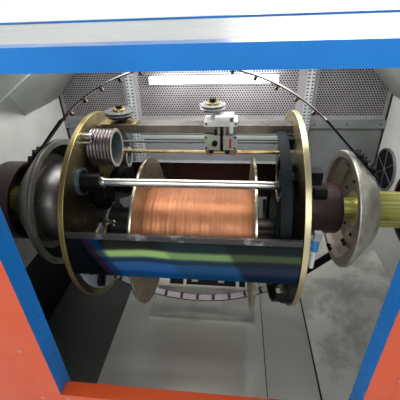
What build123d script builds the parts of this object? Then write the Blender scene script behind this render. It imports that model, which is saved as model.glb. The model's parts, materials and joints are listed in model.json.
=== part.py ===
from build123d import *
import os
from math import acos, asin, atan2, cos, degrees, hypot, radians, sin, sqrt

# Wire bunching machine, double twist, millimetres.
# Everything is drawn about the rotor axis: X runs along it to the right, the open front looks
# towards -Y, and the origin is on the axis half way between the cradle's end plates. PLACE then
# moves each piece into the machine's frame, whose origin is on the floor under its middle.

# Height and outline of the machine
AXIS_HEIGHT = 850.0
LEFT_END = -1290.0
RIGHT_END = 1410.0
FRONT_FACE = -660.0
REAR_FACE = 660.0
ROOF_UNDERSIDE = 670.0
BASE_TOP = -660.0

PLACE = Pos(-(LEFT_END + RIGHT_END) / 2, -(FRONT_FACE + REAR_FACE) / 2, AXIS_HEIGHT)

# Cabinet
SHEET = 6.0
SEAM = 0.4
WALL = 12.0
SHAFT_HOLE = 20.0
OPENING_LEFT = -377.0
OPENING_RIGHT = 541.0
SILL_TOP = -330.0
SILL_DEPTH = 45.0
SILL_LIP = 12.0
POST = 60.0
REAR_POST = 30.0
TOP_RAIL = 40.0
ROOF = 30.0
PANEL = 20.0
PANEL_STEP = 8.0

# Base
RAIL_INSET = 60.0
RAIL_WIDTH = 90.0
RAIL_DEPTH = 120.0
RAIL_END_GAP = 20.0
END_CROSS_INSET = 65.0
CROSS_STEP = 20.0
BEARER = 60.0
FOOT_RADIUS = 60.0
FOOT_PLATE = 22.0
FOOT_STEM = 18.0
FOOT_COUNT = 4
FOOT_INSET = 130.0

# Chamber round the rotor
LEFT_WALL = -857.0
RIGHT_WALL = 990.0
SEAM_HEIGHT = 136.0
SEAM_FLANGE = 46.0
SEAM_RISE = 14.0
DUCT_LEFT = -418.0
DUCT_RIGHT = 558.0
DUCT_WIDTH = 40.0
DUCT_DEPTH = 34.0
HIP_FOOT = 322.0
HIP_TIP = 277.0
HIP_KNEE_Y = -45.0
HIP_KNEE = 247.0
HIP_RIB = 5.0
LAMP_LEFT = -297.0
LAMP_RIGHT = 386.0
LAMP_Z = 392.0
LAMP_SIZE = 36.0
FAN_Y = 480.0
FAN_Z = -48.0
FAN_RADIUS = 115.0
FAN_RIM = 8.0
FAN_DEPTH = 12.0
FAN_HUB = 14.0
FAN_SPOKE = 7.0

# Chamber floor
FLOOR = -640.0
FLOOR_BACK_GAP = 36.0
LEFT_FOLD = -780.0
LEFT_CLIMB = 285.0
RIGHT_FOLD = 546.0
RIGHT_CLIMB = 130.0
LEFT_JOINT = -403.0
RIGHT_JOINT = 324.0
FLOOR_GAP = 4.0
TABLE_LEFT = -250.0
TABLE_RIGHT = 287.0
TABLE_FRONT = -108.0
TABLE_REAR = 110.0
TABLE_RIM = 9.0
TABLE_RIM_HEIGHT = 16.0
HATCH_HEIGHT = 62.0
HATCH_DEPTH = 16.0
HATCH_LEAN = 80.0
HATCH_WINDOWS = [(-185.0, -106.0), (-89.0, 193.0), (212.0, 246.0)]
HATCH_FOOT = 6.0
HATCH_HEAD = 9.0
HATCH_PILLAR = 44.0

# Bearing housings
HOUSING_SHELL = 18.0
LEFT_HOUSING_RADIUS = 178.0
LEFT_HOUSING_LENGTH = 105.0
RIGHT_HOUSING_RADIUS = 165.0
RIGHT_HOUSING_LENGTH = 95.0
BEARING_RADIUS = 100.0
BEARING_LENGTH = 30.0

# Rotor
ROTOR_X = -8.0
BOW_PEAK = 583.0
BOW_ARC = 725.0
BOW_WIDTH = 42.0
BOW_THICKNESS = 4.0
BOW_ROOT_THICKNESS = 8.0
BOW_ARC_END = 520.0
BOW_ROOT_START = 500.0
BOW_TAIL = 315.0
EYELETS = 13
EYELET_SPREAD = 40.0
EYELET_GAP = 0.6
EYELET_RADIUS = 9.0
EYELET_BORE = 5.0
EYELET_LENGTH = 10.0
LEFT_DISH_RADIUS = 283.0
RIGHT_DISH_RADIUS = 243.0
DISH_RING = 30.0
DISH_RIM = 16.0
DISH_WALL = 14.0
DISH_DEPTH = 58.0
DISH_HUB = 100.0
DISH_HUB_LENGTH = 15.0
SHOE_THICKNESS = 4.0
SHOE_LENGTH = 116.0
CLAMP_START = 160.0
CLAMP_PLACES = [15.0, 55.0, 100.0]
CLAMP_BAR = 12.0
CLAMP_BAR_WIDTH = 16.0
CLAMP_OVERHANG = 8.0
LEFT_SHAFT_RADIUS = 61.0
RIGHT_SHAFT_RADIUS = 75.0
SHAFT_NOSE_RADIUS = 46.0
SHAFT_BORE = 12.0
SHAFT_TAIL = 150.0
RUNNING = 0.08
DOME_RADIUS = 188.0
DOME_FLANGE = 8.0
DOME_LENGTH = 117.0
DOME_MOUTH = 75.0
DOME_WALL = 10.0

# Cradle
PLATE_RADIUS = 400.0
PLATE = 20.0
PLATE_OUTER = 408.0
LEFT_TRUNNION_RADIUS = 95.0
LEFT_TRUNNION_LENGTH = 88.0
RIGHT_TRUNNION_RADIUS = 105.0
RIGHT_TRUNNION_LENGTH = 194.0
TRUNNION_FLANGE = 25.0
TRUNNION_FLANGE_DEPTH = 18.0
TRUNNION_ROUND = 14.0
NOSE_SEAT = 70.0
TIE_Y = 50.0
TIE_Z = 336.0
TIE_WIDTH = 60.0
TIE_DEPTH = 34.0
ROD_Y = 200.0
ROD_Z = 213.0
ROD_RADIUS = 15.0
ROD_DRUM_RADIUS = 33.0
ROD_DRUM_LENGTH = 69.0
ROD_FLANGE_RADIUS = 50.0
ROD_FLANGE = 12.0
COVER_RADIUS = 392.0
COVER_THICKNESS = 6.0
COVER_LIP = 18.0
COVER_LIP_ANGLE = 0.5
FRONT_COVER = (163.5, 188.8)
REAR_COVER = (-25.0, 3.0)
PINTLE_PLATE_RADIUS = 372.0
PINTLE_PLATE_HOLE = 130.0
PINTLE_PLATE = 8.0
PINTLE_PLATE_SPAN = (190.0, 335.0)

# Guards at the belt's end of the cradle
GUARD_RADIUS = 330.0
GUARD = 4.0
GUARD_INSET = 26.0
GUARD_WIDTH = 37.0
GUARD_END = 197.0
LOWER_GUARD_RADIUS = 384.0
LOWER_GUARD_INSET = 20.0
LOWER_GUARD_WIDTH = 38.0
LOWER_GUARD_SPAN = (200.0, 333.0)
LUG = 14.0
LUG_DEPTH = 18.0
LOWER_LUG = 10.0
ROD_LUG = 11.0
ROD_LUG_WIDTH = 36.0

# Bobbin
BOBBIN_DROP = 139.0
BOBBIN_X = 22.0
BOBBIN_WIDTH = 475.0
FLANGE_RADIUS = 332.0
FLANGE = 16.0
FLANGE_TAPER = 4.0
BARREL_RADIUS = 180.0
BOBBIN_BORE = 28.0
WINDING_RADIUS = 206.0
PINTLE_RADIUS = 62.0
HOUSING_RADIUS = 95.0
HOUSING_DEPTH = 90.0
HOUSING_LIP = 25.0
HOUSING_LIP_DEPTH = 12.0
RIGHT_HOUSING_LIP_DEPTH = 8.0
JOURNAL_RADIUS = 40.0

# Belt drive
BELT_INSET = 37.0
BELT_WIDTH = 24.0
BELT = 4.0
BELT_SIDE = 1.0
BELT_CLEAR = 0.3
PULLEY_RIM = 3.0
PULLEY_LIP = 6.0
PULLEY_RING = 14.0
PULLEY_RECESS = 12.0
BOBBIN_PULLEY_RADIUS = 225.0
DRIVE_PULLEY_RADIUS = 82.0
DRIVE_JOURNAL = 20.0
DRIVE_Y = -112.0
DRIVE_Z = 196.0

# Capstans
CAPSTAN_Y = -60.0
CAPSTAN_Z = 290.0
CAPSTAN_RADIUS = 74.0
CAPSTAN_INSET = 14.0
CAPSTAN_WIDTH = 90.0
CAPSTAN_GROOVES = 7
GROOVE_DEPTH = 5.0
CAPSTAN_WALL = 14.0
CAPSTAN_WEB = 14.0
CAPSTAN_HUB = 8.0
SMALL_CAPSTAN_Y = 100.0
SMALL_CAPSTAN_Z = 178.0
SMALL_CAPSTAN_RADIUS = 46.0
SMALL_CAPSTAN_WIDTH = 44.0
SMALL_CAPSTAN_INSET = 46.0
SMALL_CAPSTAN_GROOVES = 4
AXLE_RADIUS = 12.0
AXLE_END = 10.0

# Traverse
TRAVERSE_Z = 228.0
TRAVERSE_ROD_RADIUS = 7.0
CARRIAGE_X = 115.0
CARRIAGE_WIDTH = 128.0
CARRIAGE_DEPTH = 60.0
CARRIAGE_BODY = 62.0
CARRIAGE_SLIDE = 1.0
CARRIAGE_TOP = 20.0
CARRIAGE_LEG = 30.0
CARRIAGE_LEG_REACH = 10.0
CARRIAGE_LEG_DEPTH = 24.0
CARRIAGE_PORCH = 20.0
CARRIAGE_POST = 6.5
CARRIAGE_POST_PLACES = [-7.0, 14.0]
CARRIAGE_BRACKET = (-22.0, 50.0)
CARRIAGE_BRACKET_HEIGHT = 22.0
PIN_RADIUS = 8.0
PIN_PLACE = -33.0
DISC_RADIUS = 39.0
DISC = 11.0
DISC_LIFT = 28.0
LEFT_DISC_LIFT = 17.0
GUIDE_WIDTH = 14.0
GUIDE_GROOVE = 9.0
GUIDE_HUB = 26.0
GUIDE_HUB_HEIGHT = 9.0
GUIDE_GAP = 1.0
GUIDE_CAP = 4.0
RIGHT_GUIDE_RADIUS = 51.0
LEFT_GUIDE_RADIUS = 60.0
LEFT_GUIDE_INSET = 96.0
LEFT_POST = 22.0
LEFT_POST_HEIGHT = 8.0


def block(x0, x1, y0, y1, z0, z1):
    """A box between two corners."""
    return Pos((x0 + x1) / 2, (y0 + y1) / 2, (z0 + z1) / 2) * Box(x1 - x0, y1 - y0, z1 - z0)


def drum(radius, x0, x1, y=0.0, z=0.0):
    """A cylinder along X."""
    bar = Cylinder(radius, x1 - x0, align=(Align.CENTER, Align.CENTER, Align.MIN))
    return Pos(x0, y, z) * Rot(0, 90, 0) * bar


def upright(radius, x, y, z0, z1):
    """A cylinder along Z."""
    return Pos(x, y, z0) * Cylinder(radius, z1 - z0, align=(Align.CENTER, Align.CENTER, Align.MIN))


def outline(points, arcs=None):
    """A closed face through points; arcs gives the middle point of each step that is curved."""
    edges = []
    for i, start in enumerate(points):
        end = points[(i + 1) % len(points)]
        if arcs and i in arcs:
            edges.append(ThreePointArc(start, arcs[i], end))
        else:
            edges.append(Line(start, end))
    return make_face(Wire(edges))


def turned(points, y=0.0, z=0.0, arcs=None):
    """A closed outline of (x, radius) points turned about an axis along X."""
    return Pos(0, y, z) * revolve(Plane.XZ * outline(points, arcs), Axis.X, 360)


def mirrored(shape):
    """The same piece across the plane half way between the end plates."""
    return mirror(shape, Plane.YZ)


def arc_bar(inner, outer, x0, x1, start, end):
    """Part of a ring about the rotor axis, between angles that run from the rear over the top."""
    def at(radius, angle):
        return radius * cos(radians(angle)), radius * sin(radians(angle))
    middle = (start + end) / 2
    face = outline([at(outer, start), at(outer, end), at(inner, end), at(inner, start)],
                   {0: at(outer, middle), 2: at(inner, middle)})
    plane = Plane(origin=(x0, 0, 0), x_dir=(0, 1, 0), z_dir=(1, 0, 0))
    return plane * extrude(face, x1 - x0)


def lug(x0, x1, inner, outer, angle, width):
    """A block that stands out from the rotor axis at an angle."""
    return Rot(angle, 0, 0) * block(x0, x1, inner, outer, -width / 2, width / 2)


# Base and feet
def rail_line():
    """Distance of a base rail's middle from the machine's middle plane."""
    return abs(FRONT_FACE) - RAIL_INSET - RAIL_WIDTH / 2


def base_frame():
    """Two long rails joined by cross bars and by the bearers of the floor sheets, welded to one piece."""
    z0, z1 = BASE_TOP - RAIL_DEPTH, BASE_TOP - SEAM
    half = RAIL_WIDTH / 2
    reach = rail_line()
    frame = None
    for y in (-reach, reach):
        rail = block(LEFT_END + RAIL_END_GAP, RIGHT_END - RAIL_END_GAP, y - half, y + half, z0, z1)
        frame = rail if frame is None else frame + rail
    places = [LEFT_END + END_CROSS_INSET, LEFT_WALL, (OPENING_LEFT + OPENING_RIGHT) / 2,
              RIGHT_WALL, RIGHT_END - END_CROSS_INSET]
    for x in places:
        frame += block(x - half, x + half, -reach, reach, z0 + CROSS_STEP, z1)
    for x in (LEFT_FOLD, LEFT_JOINT, RIGHT_JOINT, RIGHT_FOLD):
        frame += block(x - BEARER / 2, x + BEARER / 2, -reach, reach, z0 + CROSS_STEP, FLOOR - SHEET - SEAM)
    return frame


def machine_feet():
    """Levelling feet: a round plate on a hexagonal stem."""
    feet = []
    span = RIGHT_END - LEFT_END - 2 * FOOT_INSET
    top = BASE_TOP - RAIL_DEPTH - SEAM
    for i in range(FOOT_COUNT):
        x = LEFT_END + FOOT_INSET + span * i / (FOOT_COUNT - 1)
        for y in (-rail_line(), rail_line()):
            disc = upright(FOOT_RADIUS, x, y, -AXIS_HEIGHT, -AXIS_HEIGHT + FOOT_PLATE)
            stem = extrude(RegularPolygon(FOOT_STEM, 6), top + AXIS_HEIGHT - FOOT_PLATE)
            feet.append(disc + Pos(x, y, -AXIS_HEIGHT + FOOT_PLATE) * stem)
    return feet


# Enclosure
def frame_posts():
    """Front and rear posts at the machine's ends and at the edges of the opening."""
    places = [(LEFT_END, LEFT_END + POST), (OPENING_LEFT - POST, OPENING_LEFT),
              (OPENING_RIGHT, OPENING_RIGHT + POST), (RIGHT_END - POST, RIGHT_END)]
    rows = [(FRONT_FACE, FRONT_FACE + POST), (REAR_FACE - REAR_POST, REAR_FACE)]
    return [block(x0, x1, y0, y1, BASE_TOP, ROOF_UNDERSIDE - SEAM) for x0, x1 in places for y0, y1 in rows]


def top_rails():
    return [block(LEFT_END, RIGHT_END, y0, y0 + POST, ROOF_UNDERSIDE, ROOF_UNDERSIDE + TOP_RAIL)
            for y0 in (FRONT_FACE, REAR_FACE - POST)]


def roof_panel():
    return block(LEFT_END, RIGHT_END, FRONT_FACE + POST + SEAM, REAR_FACE - POST - SEAM,
                 ROOF_UNDERSIDE + SEAM, ROOF_UNDERSIDE + ROOF)


def front_panels():
    """Painted panels either side of the opening, set a little behind the posts."""
    edges = [(LEFT_END + POST, OPENING_LEFT - POST), (OPENING_RIGHT + POST, RIGHT_END - POST)]
    y = FRONT_FACE + PANEL_STEP
    return [block(x0 + SEAM, x1 - SEAM, y, y + PANEL, BASE_TOP, ROOF_UNDERSIDE - SEAM) for x0, x1 in edges]


def front_sill_panel():
    x0, x1 = OPENING_LEFT + SEAM, OPENING_RIGHT - SEAM
    face = block(x0, x1, FRONT_FACE, FRONT_FACE + PANEL, BASE_TOP, SILL_TOP)
    return face + block(x0, x1, FRONT_FACE + PANEL, FRONT_FACE + SILL_DEPTH, SILL_TOP - SILL_LIP, SILL_TOP)


def end_panels():
    y0, y1 = FRONT_FACE + POST + SEAM, REAR_FACE - REAR_POST - SEAM
    edges = [(LEFT_END, LEFT_END + PANEL), (RIGHT_END - PANEL, RIGHT_END)]
    return [block(x0, x1, y0, y1, BASE_TOP, ROOF_UNDERSIDE - SEAM) for x0, x1 in edges]


def rear_outer_panels():
    edges = [(LEFT_END + POST, OPENING_LEFT - POST), (OPENING_LEFT, OPENING_RIGHT),
             (OPENING_RIGHT + POST, RIGHT_END - POST)]
    y = rear_face() + SEAM
    return [block(x0 + SEAM, x1 - SEAM, y, y + PANEL, BASE_TOP, ROOF_UNDERSIDE - SEAM) for x0, x1 in edges]


# Chamber lining
def end_walls():
    """Inner walls between the rotor's chamber and the end compartments, with a hole for each shaft."""
    walls = []
    for x0, radius in ((LEFT_WALL - WALL, LEFT_SHAFT_RADIUS), (RIGHT_WALL, RIGHT_SHAFT_RADIUS)):
        plate = block(x0, x0 + WALL, FRONT_FACE + POST, REAR_FACE - REAR_POST - SEAM,
                      BASE_TOP, ROOF_UNDERSIDE - SEAM)
        walls.append(plate - drum(radius + SHAFT_HOLE, x0 - 1, x0 + WALL + 1))
    return walls


def lining_bays():
    """Left and right edge of each sheet on the chamber's rear wall."""
    half = DUCT_WIDTH / 2 + SEAM
    return [(LEFT_WALL + SEAM, DUCT_LEFT - half), (DUCT_LEFT + half, DUCT_RIGHT - half),
            (DUCT_RIGHT + half, RIGHT_WALL - SEAM)]


def rear_face():
    """Front side of the panels that close the machine's back."""
    return REAR_FACE - REAR_POST - SEAM


def lining_feet():
    """Lower edge of each sheet on the chamber's rear wall, above the floor sheets behind it."""
    return [FLOOR + LEFT_CLIMB + 2 * SHEET, FLOOR + HATCH_HEIGHT + 2 * SHEET, FLOOR + RIGHT_CLIMB + 2 * SHEET]


def rear_lower_panels():
    return [block(x0, x1, rear_face() - SHEET, rear_face(), foot, SEAM_HEIGHT - SEAM)
            for (x0, x1), foot in zip(lining_bays(), lining_feet())]


def rear_perforated_panels():
    foot = SEAM_HEIGHT + SEAM_FLANGE + SEAM
    return [block(x0, x1, rear_face() - SHEET, rear_face(), foot, ROOF_UNDERSIDE - SEAM)
            for x0, x1 in lining_bays()]


def seam_rail():
    return [block(x0, x1, rear_face() - SHEET - SEAM_RISE, rear_face(), SEAM_HEIGHT, SEAM_HEIGHT + SEAM_FLANGE)
            for x0, x1 in lining_bays()]


def cable_ducts():
    foot = max(lining_feet())
    return [block(x - DUCT_WIDTH / 2, x + DUCT_WIDTH / 2, rear_face() - DUCT_DEPTH, rear_face(),
                  foot, ROOF_UNDERSIDE - SEAM) for x in (DUCT_LEFT, DUCT_RIGHT)]


def hip_panels():
    """Sheets at 45 degrees across the chamber's upper corners, notched at the front, with a rib."""
    length = (ROOF_UNDERSIDE - HIP_FOOT - 2 * SEAM) * sqrt(2)
    back = rear_face() - DUCT_DEPTH - 2
    front = FRONT_FACE + POST + SEAM

    def slant(up):
        """The edge that leans back at 45 degrees through the notch's inner corner."""
        return HIP_KNEE_Y + up - HIP_KNEE, up
    sheet = extrude(outline([(back, 0), (HIP_TIP, 0), slant(HIP_KNEE), slant(0), (front, 0), (front, length),
                             (back, length)]), SHEET)
    low, high = slant(2 * HIP_RIB), slant(length - 2 * HIP_RIB)
    rib = outline([low, (low[0] - 2 * HIP_RIB, low[1]), (high[0] - 2 * HIP_RIB, high[1]), high])
    sheet += Pos(0, 0, SHEET) * extrude(rib, HIP_RIB)
    plane = Plane(origin=(LEFT_WALL + SEAM, 0, HIP_FOOT), x_dir=(0, 1, 0), z_dir=(1, 0, -1))
    left = plane * sheet
    middle = (LEFT_WALL + RIGHT_WALL) / 2
    return [left, mirror(left, Plane(origin=(middle, 0, 0), z_dir=(1, 0, 0)))]


def floor_sheet(x0, x1, z0, z1):
    """A sheet that runs from the front to the rear of the chamber, level or rising sideways."""
    face = outline([(x0, z0), (x1, z1), (x1, z1 + SHEET), (x0, z0 + SHEET)])
    back = rear_face() - SHEET - FLOOR_BACK_GAP
    plane = Plane(origin=(0, back, 0), x_dir=(1, 0, 0), z_dir=(0, -1, 0))
    return plane * extrude(face, back - (FRONT_FACE + POST))


def floor_trays():
    """Sheets under the rotor: the outer two rise towards the end walls."""
    under = FLOOR - SHEET
    return [floor_sheet(LEFT_WALL + SEAM, LEFT_FOLD, under + LEFT_CLIMB, under),
            floor_sheet(LEFT_FOLD + FLOOR_GAP, LEFT_JOINT, under, under),
            floor_sheet(LEFT_JOINT + FLOOR_GAP, RIGHT_JOINT, under, under),
            floor_sheet(RIGHT_JOINT + FLOOR_GAP, RIGHT_FOLD - 2 * FLOOR_GAP, under, under),
            floor_sheet(RIGHT_FOLD, RIGHT_WALL - SEAM, under, under + RIGHT_CLIMB)]


def lift_table():
    """Flat tray with a raised rim under the bobbin."""
    tray = block(TABLE_LEFT, TABLE_RIGHT, TABLE_FRONT, TABLE_REAR, FLOOR + SEAM, FLOOR + TABLE_RIM_HEIGHT)
    return tray - block(TABLE_LEFT + TABLE_RIM, TABLE_RIGHT - TABLE_RIM, TABLE_FRONT + TABLE_RIM,
                        TABLE_REAR - TABLE_RIM, FLOOR + SHEET, FLOOR + TABLE_RIM_HEIGHT + 1)


def rear_hatch():
    """Low framed windows that lean back behind the table, with a deck from their top to the rear wall."""
    y0 = TABLE_REAR + SEAM
    foot, top = FLOOR + SEAM, FLOOR + HATCH_HEIGHT

    def slab(x0, x1, z0, z1, near, far):
        """Part of the leaning front between two heights."""
        low, high = (y0 + HATCH_LEAN * (z - foot) / (top - foot) for z in (z0, z1))
        face = outline([(low + near, z0), (low + far, z0), (high + far, z1), (high + near, z1)])
        return Plane(origin=(x0, 0, 0), x_dir=(0, 1, 0), z_dir=(1, 0, 0)) * extrude(face, x1 - x0)
    frame = slab(TABLE_LEFT, TABLE_RIGHT, foot, top, 0, HATCH_DEPTH)
    for x0, x1 in HATCH_WINDOWS:
        frame -= slab(x0, x1, foot + HATCH_FOOT, top - HATCH_HEAD, -1, HATCH_DEPTH + 1)
    deck = y0 + HATCH_LEAN
    frame += block(TABLE_LEFT, TABLE_RIGHT, deck, rear_face() - SHEET - SEAM, top - SHEET, top)
    middle = (HATCH_WINDOWS[1][0] + HATCH_WINDOWS[1][1]) / 2
    half = HATCH_PILLAR / 2
    pillar = block(middle - half, middle + half, deck + half, deck + half + HATCH_PILLAR, foot, top - SHEET)
    return frame + pillar


def fan_grille():
    """Rim with a hub and three spokes in the right end wall."""
    x0, x1 = RIGHT_WALL - SEAM - FAN_DEPTH, RIGHT_WALL - SEAM
    grille = drum(FAN_RADIUS, x0, x1) - drum(FAN_RADIUS - FAN_RIM, x0 - 1, x0 + 2 * FAN_DEPTH / 3)
    face = x0 + FAN_DEPTH / 3
    grille += drum(FAN_HUB, face, x1)
    for angle in (90, 210, 330):
        grille += lug(face, x1, 0, FAN_RADIUS - FAN_RIM / 2, angle, FAN_SPOKE)
    return Pos(0, FAN_Y, FAN_Z) * grille


def work_light():
    y = rear_face() - SHEET - SEAM
    return block(LAMP_LEFT, LAMP_RIGHT, y - LAMP_SIZE, y, LAMP_Z, LAMP_Z + LAMP_SIZE)


# Bearing housings
def bearing_housing(shaft_radius, radius, length):
    """Cup on an end wall, drawn for a wall at X = 0 and open to the right, with a bearing in it."""
    return turned([
        (0, shaft_radius + RUNNING), (0, radius), (length, radius), (length, radius - HOUSING_SHELL),
        (SHEET, radius - HOUSING_SHELL), (SHEET, BEARING_RADIUS), (BEARING_LENGTH, BEARING_RADIUS),
        (BEARING_LENGTH, shaft_radius + RUNNING),
    ])


def shaft_bearings():
    left = bearing_housing(LEFT_SHAFT_RADIUS, LEFT_HOUSING_RADIUS, LEFT_HOUSING_LENGTH)
    right = bearing_housing(RIGHT_SHAFT_RADIUS, RIGHT_HOUSING_RADIUS, RIGHT_HOUSING_LENGTH)
    return [Pos(LEFT_WALL, 0, 0) * left, Pos(RIGHT_WALL, 0, 0) * mirrored(right)]


# Rotor, drawn about its own middle
def bow_height(x):
    """Distance of the bow's inner face from the axis."""
    return BOW_PEAK - BOW_ARC + sqrt(BOW_ARC ** 2 - x ** 2)


def tail_direction():
    """Unit step along the bow's straight end, outwards and inwards."""
    return sqrt(BOW_ARC ** 2 - BOW_ARC_END ** 2) / BOW_ARC, -BOW_ARC_END / BOW_ARC


def cone_x(radius, depth=0.0):
    """Where a dish's cone has a radius: its outside lies under the bow's shoes, its inside a wall deeper."""
    dx, dr = tail_direction()
    sunk = SHOE_THICKNESS + depth
    along = (radius - bow_height(BOW_ARC_END) + sunk * dx) / dr
    return BOW_ARC_END + along * dx + sunk * dr


def dish(radius, shaft_radius):
    """A dish for the right end: a ring, a cone inside, a flat floor and a hub behind."""
    rim = cone_x(radius)
    face = rim - DISH_RIM
    floor = face + DISH_DEPTH
    mouth = radius - DISH_RING
    slope = (cone_x(mouth, DISH_WALL) - cone_x(radius, DISH_WALL)) / DISH_RING
    floor_radius = mouth - (floor - cone_x(mouth, DISH_WALL)) / slope
    back = cone_x(DISH_HUB)
    return turned([
        (face, mouth), (face, radius), (rim, radius), (back, DISH_HUB), (back + DISH_HUB_LENGTH, DISH_HUB),
        (back + DISH_HUB_LENGTH, shaft_radius), (floor, shaft_radius), (floor, floor_radius),
        (cone_x(mouth, DISH_WALL), mouth),
    ])


def dish_floor(radius):
    """Where the shaft's step seats against the inside of its dish."""
    return cone_x(radius) - DISH_RIM + DISH_DEPTH


def rotor_dishes():
    left = mirrored(dish(LEFT_DISH_RADIUS, LEFT_SHAFT_RADIUS))
    right = dish(RIGHT_DISH_RADIUS, RIGHT_SHAFT_RADIUS)
    return [Pos(ROTOR_X, 0, 0) * left, Pos(ROTOR_X, 0, 0) * right]


def shaft(nose, step, end, radius):
    """Stepped shaft: a nose inside the cradle's trunnion, a seat in the dish, a journal at the wall."""
    return turned([(nose, SHAFT_BORE), (nose, SHAFT_NOSE_RADIUS), (step, SHAFT_NOSE_RADIUS),
                   (step, radius), (end, radius), (end, SHAFT_BORE)])


def rotor_shafts():
    left = shaft(PLATE_OUTER + LEFT_TRUNNION_LENGTH - NOSE_SEAT + SEAM, dish_floor(LEFT_DISH_RADIUS) - ROTOR_X,
                 -LEFT_WALL + SHAFT_TAIL, LEFT_SHAFT_RADIUS)
    right = shaft(PLATE_OUTER + RIGHT_TRUNNION_LENGTH - NOSE_SEAT + SEAM, dish_floor(RIGHT_DISH_RADIUS) + ROTOR_X,
                  RIGHT_WALL + SHAFT_TAIL, RIGHT_SHAFT_RADIUS)
    return [mirrored(left), right]


def left_dome():
    """Polished cap on the left dish's floor, over the cradle's trunnion."""
    seat = dish_floor(LEFT_DISH_RADIUS)
    flange = seat - DOME_FLANGE
    end = flange - DOME_LENGTH
    root = DOME_RADIUS - DOME_FLANGE
    bulge = flange - 0.62 * DOME_LENGTH, DOME_MOUTH + 0.76 * (root - DOME_MOUTH)
    inner_root = root - DOME_WALL
    inner_bulge = bulge[0] + 0.6 * DOME_WALL, bulge[1] - 0.8 * DOME_WALL
    cap = turned([
        (seat, inner_root), (seat, DOME_RADIUS), (flange, DOME_RADIUS), (flange, root), (end, DOME_MOUTH),
        (end, DOME_MOUTH - DOME_WALL), (end + DOME_WALL, DOME_MOUTH - DOME_WALL), (flange, inner_root),
    ], arcs={3: bulge, 6: inner_bulge})
    return Pos(ROTOR_X, 0, 0) * mirrored(cap)


def bow_edge(angle, thickness):
    """Point (x, z) on the bow at an angle from its peak, outside its inner face by a thickness."""
    r = BOW_ARC + thickness
    return r * sin(radians(angle)), BOW_PEAK - BOW_ARC + r * cos(radians(angle))


def bow():
    """One bow as a bent bar: a thin arc over the cradle, and thicker straight ends."""
    thick, thin = BOW_ROOT_THICKNESS, BOW_THICKNESS
    end = degrees(asin(BOW_ARC_END / BOW_ARC))
    step = degrees(asin(BOW_ROOT_START / BOW_ARC))
    dx, dr = tail_direction()

    def tail(thickness):
        x, z = bow_edge(end, thickness)
        return x + BOW_TAIL * dx, z + BOW_TAIL * dr

    def flip(point):
        return -point[0], point[1]

    def arc(a0, a1, thickness):
        return ThreePointArc(bow_edge(a0, thickness), bow_edge((a0 + a1) / 2, thickness), bow_edge(a1, thickness))

    edges = [
        Line(flip(tail(0)), bow_edge(-end, 0)), arc(-end, end, 0), Line(bow_edge(end, 0), tail(0)),
        Line(tail(0), tail(thick)), Line(tail(thick), bow_edge(end, thick)), arc(end, step, thick),
        Line(bow_edge(step, thick), bow_edge(step, thin)), arc(step, -step, thin),
        Line(bow_edge(-step, thin), bow_edge(-step, thick)), arc(-step, -end, thick),
        Line(bow_edge(-end, thick), flip(tail(thick))), Line(flip(tail(thick)), flip(tail(0))),
    ]
    return Plane.XZ * extrude(make_face(Wire(edges)), BOW_WIDTH / 2, both=True)


def rotor_bows():
    upper = Pos(ROTOR_X, 0, 0) * bow()
    return [upper, Rot(180, 0, 0) * upper]


def tail_frame(side, turn, along):
    """Place on a bow's inner face at a distance along its straight end: x along the bow, z outwards."""
    dx, dr = tail_direction()
    x = BOW_ARC_END + along * dx
    z = bow_height(BOW_ARC_END) + along * dr
    plane = Plane(origin=(ROTOR_X + side * x, 0, z), x_dir=(side * dx, 0, dr), z_dir=(side * -dr, 0, dx))
    return Rot(turn, 0, 0) * plane.location


def bow_shoes():
    """Packing between the cone of a dish and the flat end of a bow."""
    shoes = []
    left, right = rotor_dishes()
    for side, seat in ((-1, left), (1, right)):
        for turn in (0, 180):
            place = tail_frame(side, turn, CLAMP_START + SHOE_LENGTH / 2)
            pad = place * (Pos(0, 0, -DISH_WALL) * Box(SHOE_LENGTH, BOW_WIDTH, 2 * DISH_WALL))
            pieces = (pad - seat).solids()
            shoes.append(max(pieces, key=lambda s: s.center().length))
    return shoes


def bow_clamps():
    bars = []
    for side in (-1, 1):
        for turn in (0, 180):
            for step in CLAMP_PLACES:
                bar = Box(CLAMP_BAR_WIDTH, BOW_WIDTH + 2 * CLAMP_OVERHANG, CLAMP_BAR)
                lift = Pos(0, 0, BOW_ROOT_THICKNESS + CLAMP_BAR / 2)
                bars.append(tail_frame(side, turn, CLAMP_START + step) * lift * bar)
    return bars


def bow_eyelets():
    """Short tubes on the inner face of each bow that lead the wire round."""
    outer = RegularPolygon(EYELET_RADIUS, 6, major_radius=False)
    bore = RegularPolygon(EYELET_BORE, 6, major_radius=False)
    tube = Rot(0, 90, 0) * Rot(0, 0, 30) * extrude(outer - bore, EYELET_LENGTH / 2, both=True)
    rings = []
    for turn in (0, 180):
        for i in range(EYELETS):
            angle = -EYELET_SPREAD + 2 * EYELET_SPREAD * i / (EYELETS - 1)
            x, z = bow_edge(angle, -EYELET_RADIUS - EYELET_GAP)
            rings.append(Rot(turn, 0, 0) * Pos(ROTOR_X + x, 0, z) * Rot(0, angle, 0) * tube)
    return rings


# Cradle
def inner_face():
    return PLATE_OUTER - PLATE


def end_plates():
    return [drum(PLATE_RADIUS, -PLATE_OUTER, -inner_face()), drum(PLATE_RADIUS, inner_face(), PLATE_OUTER)]


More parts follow.
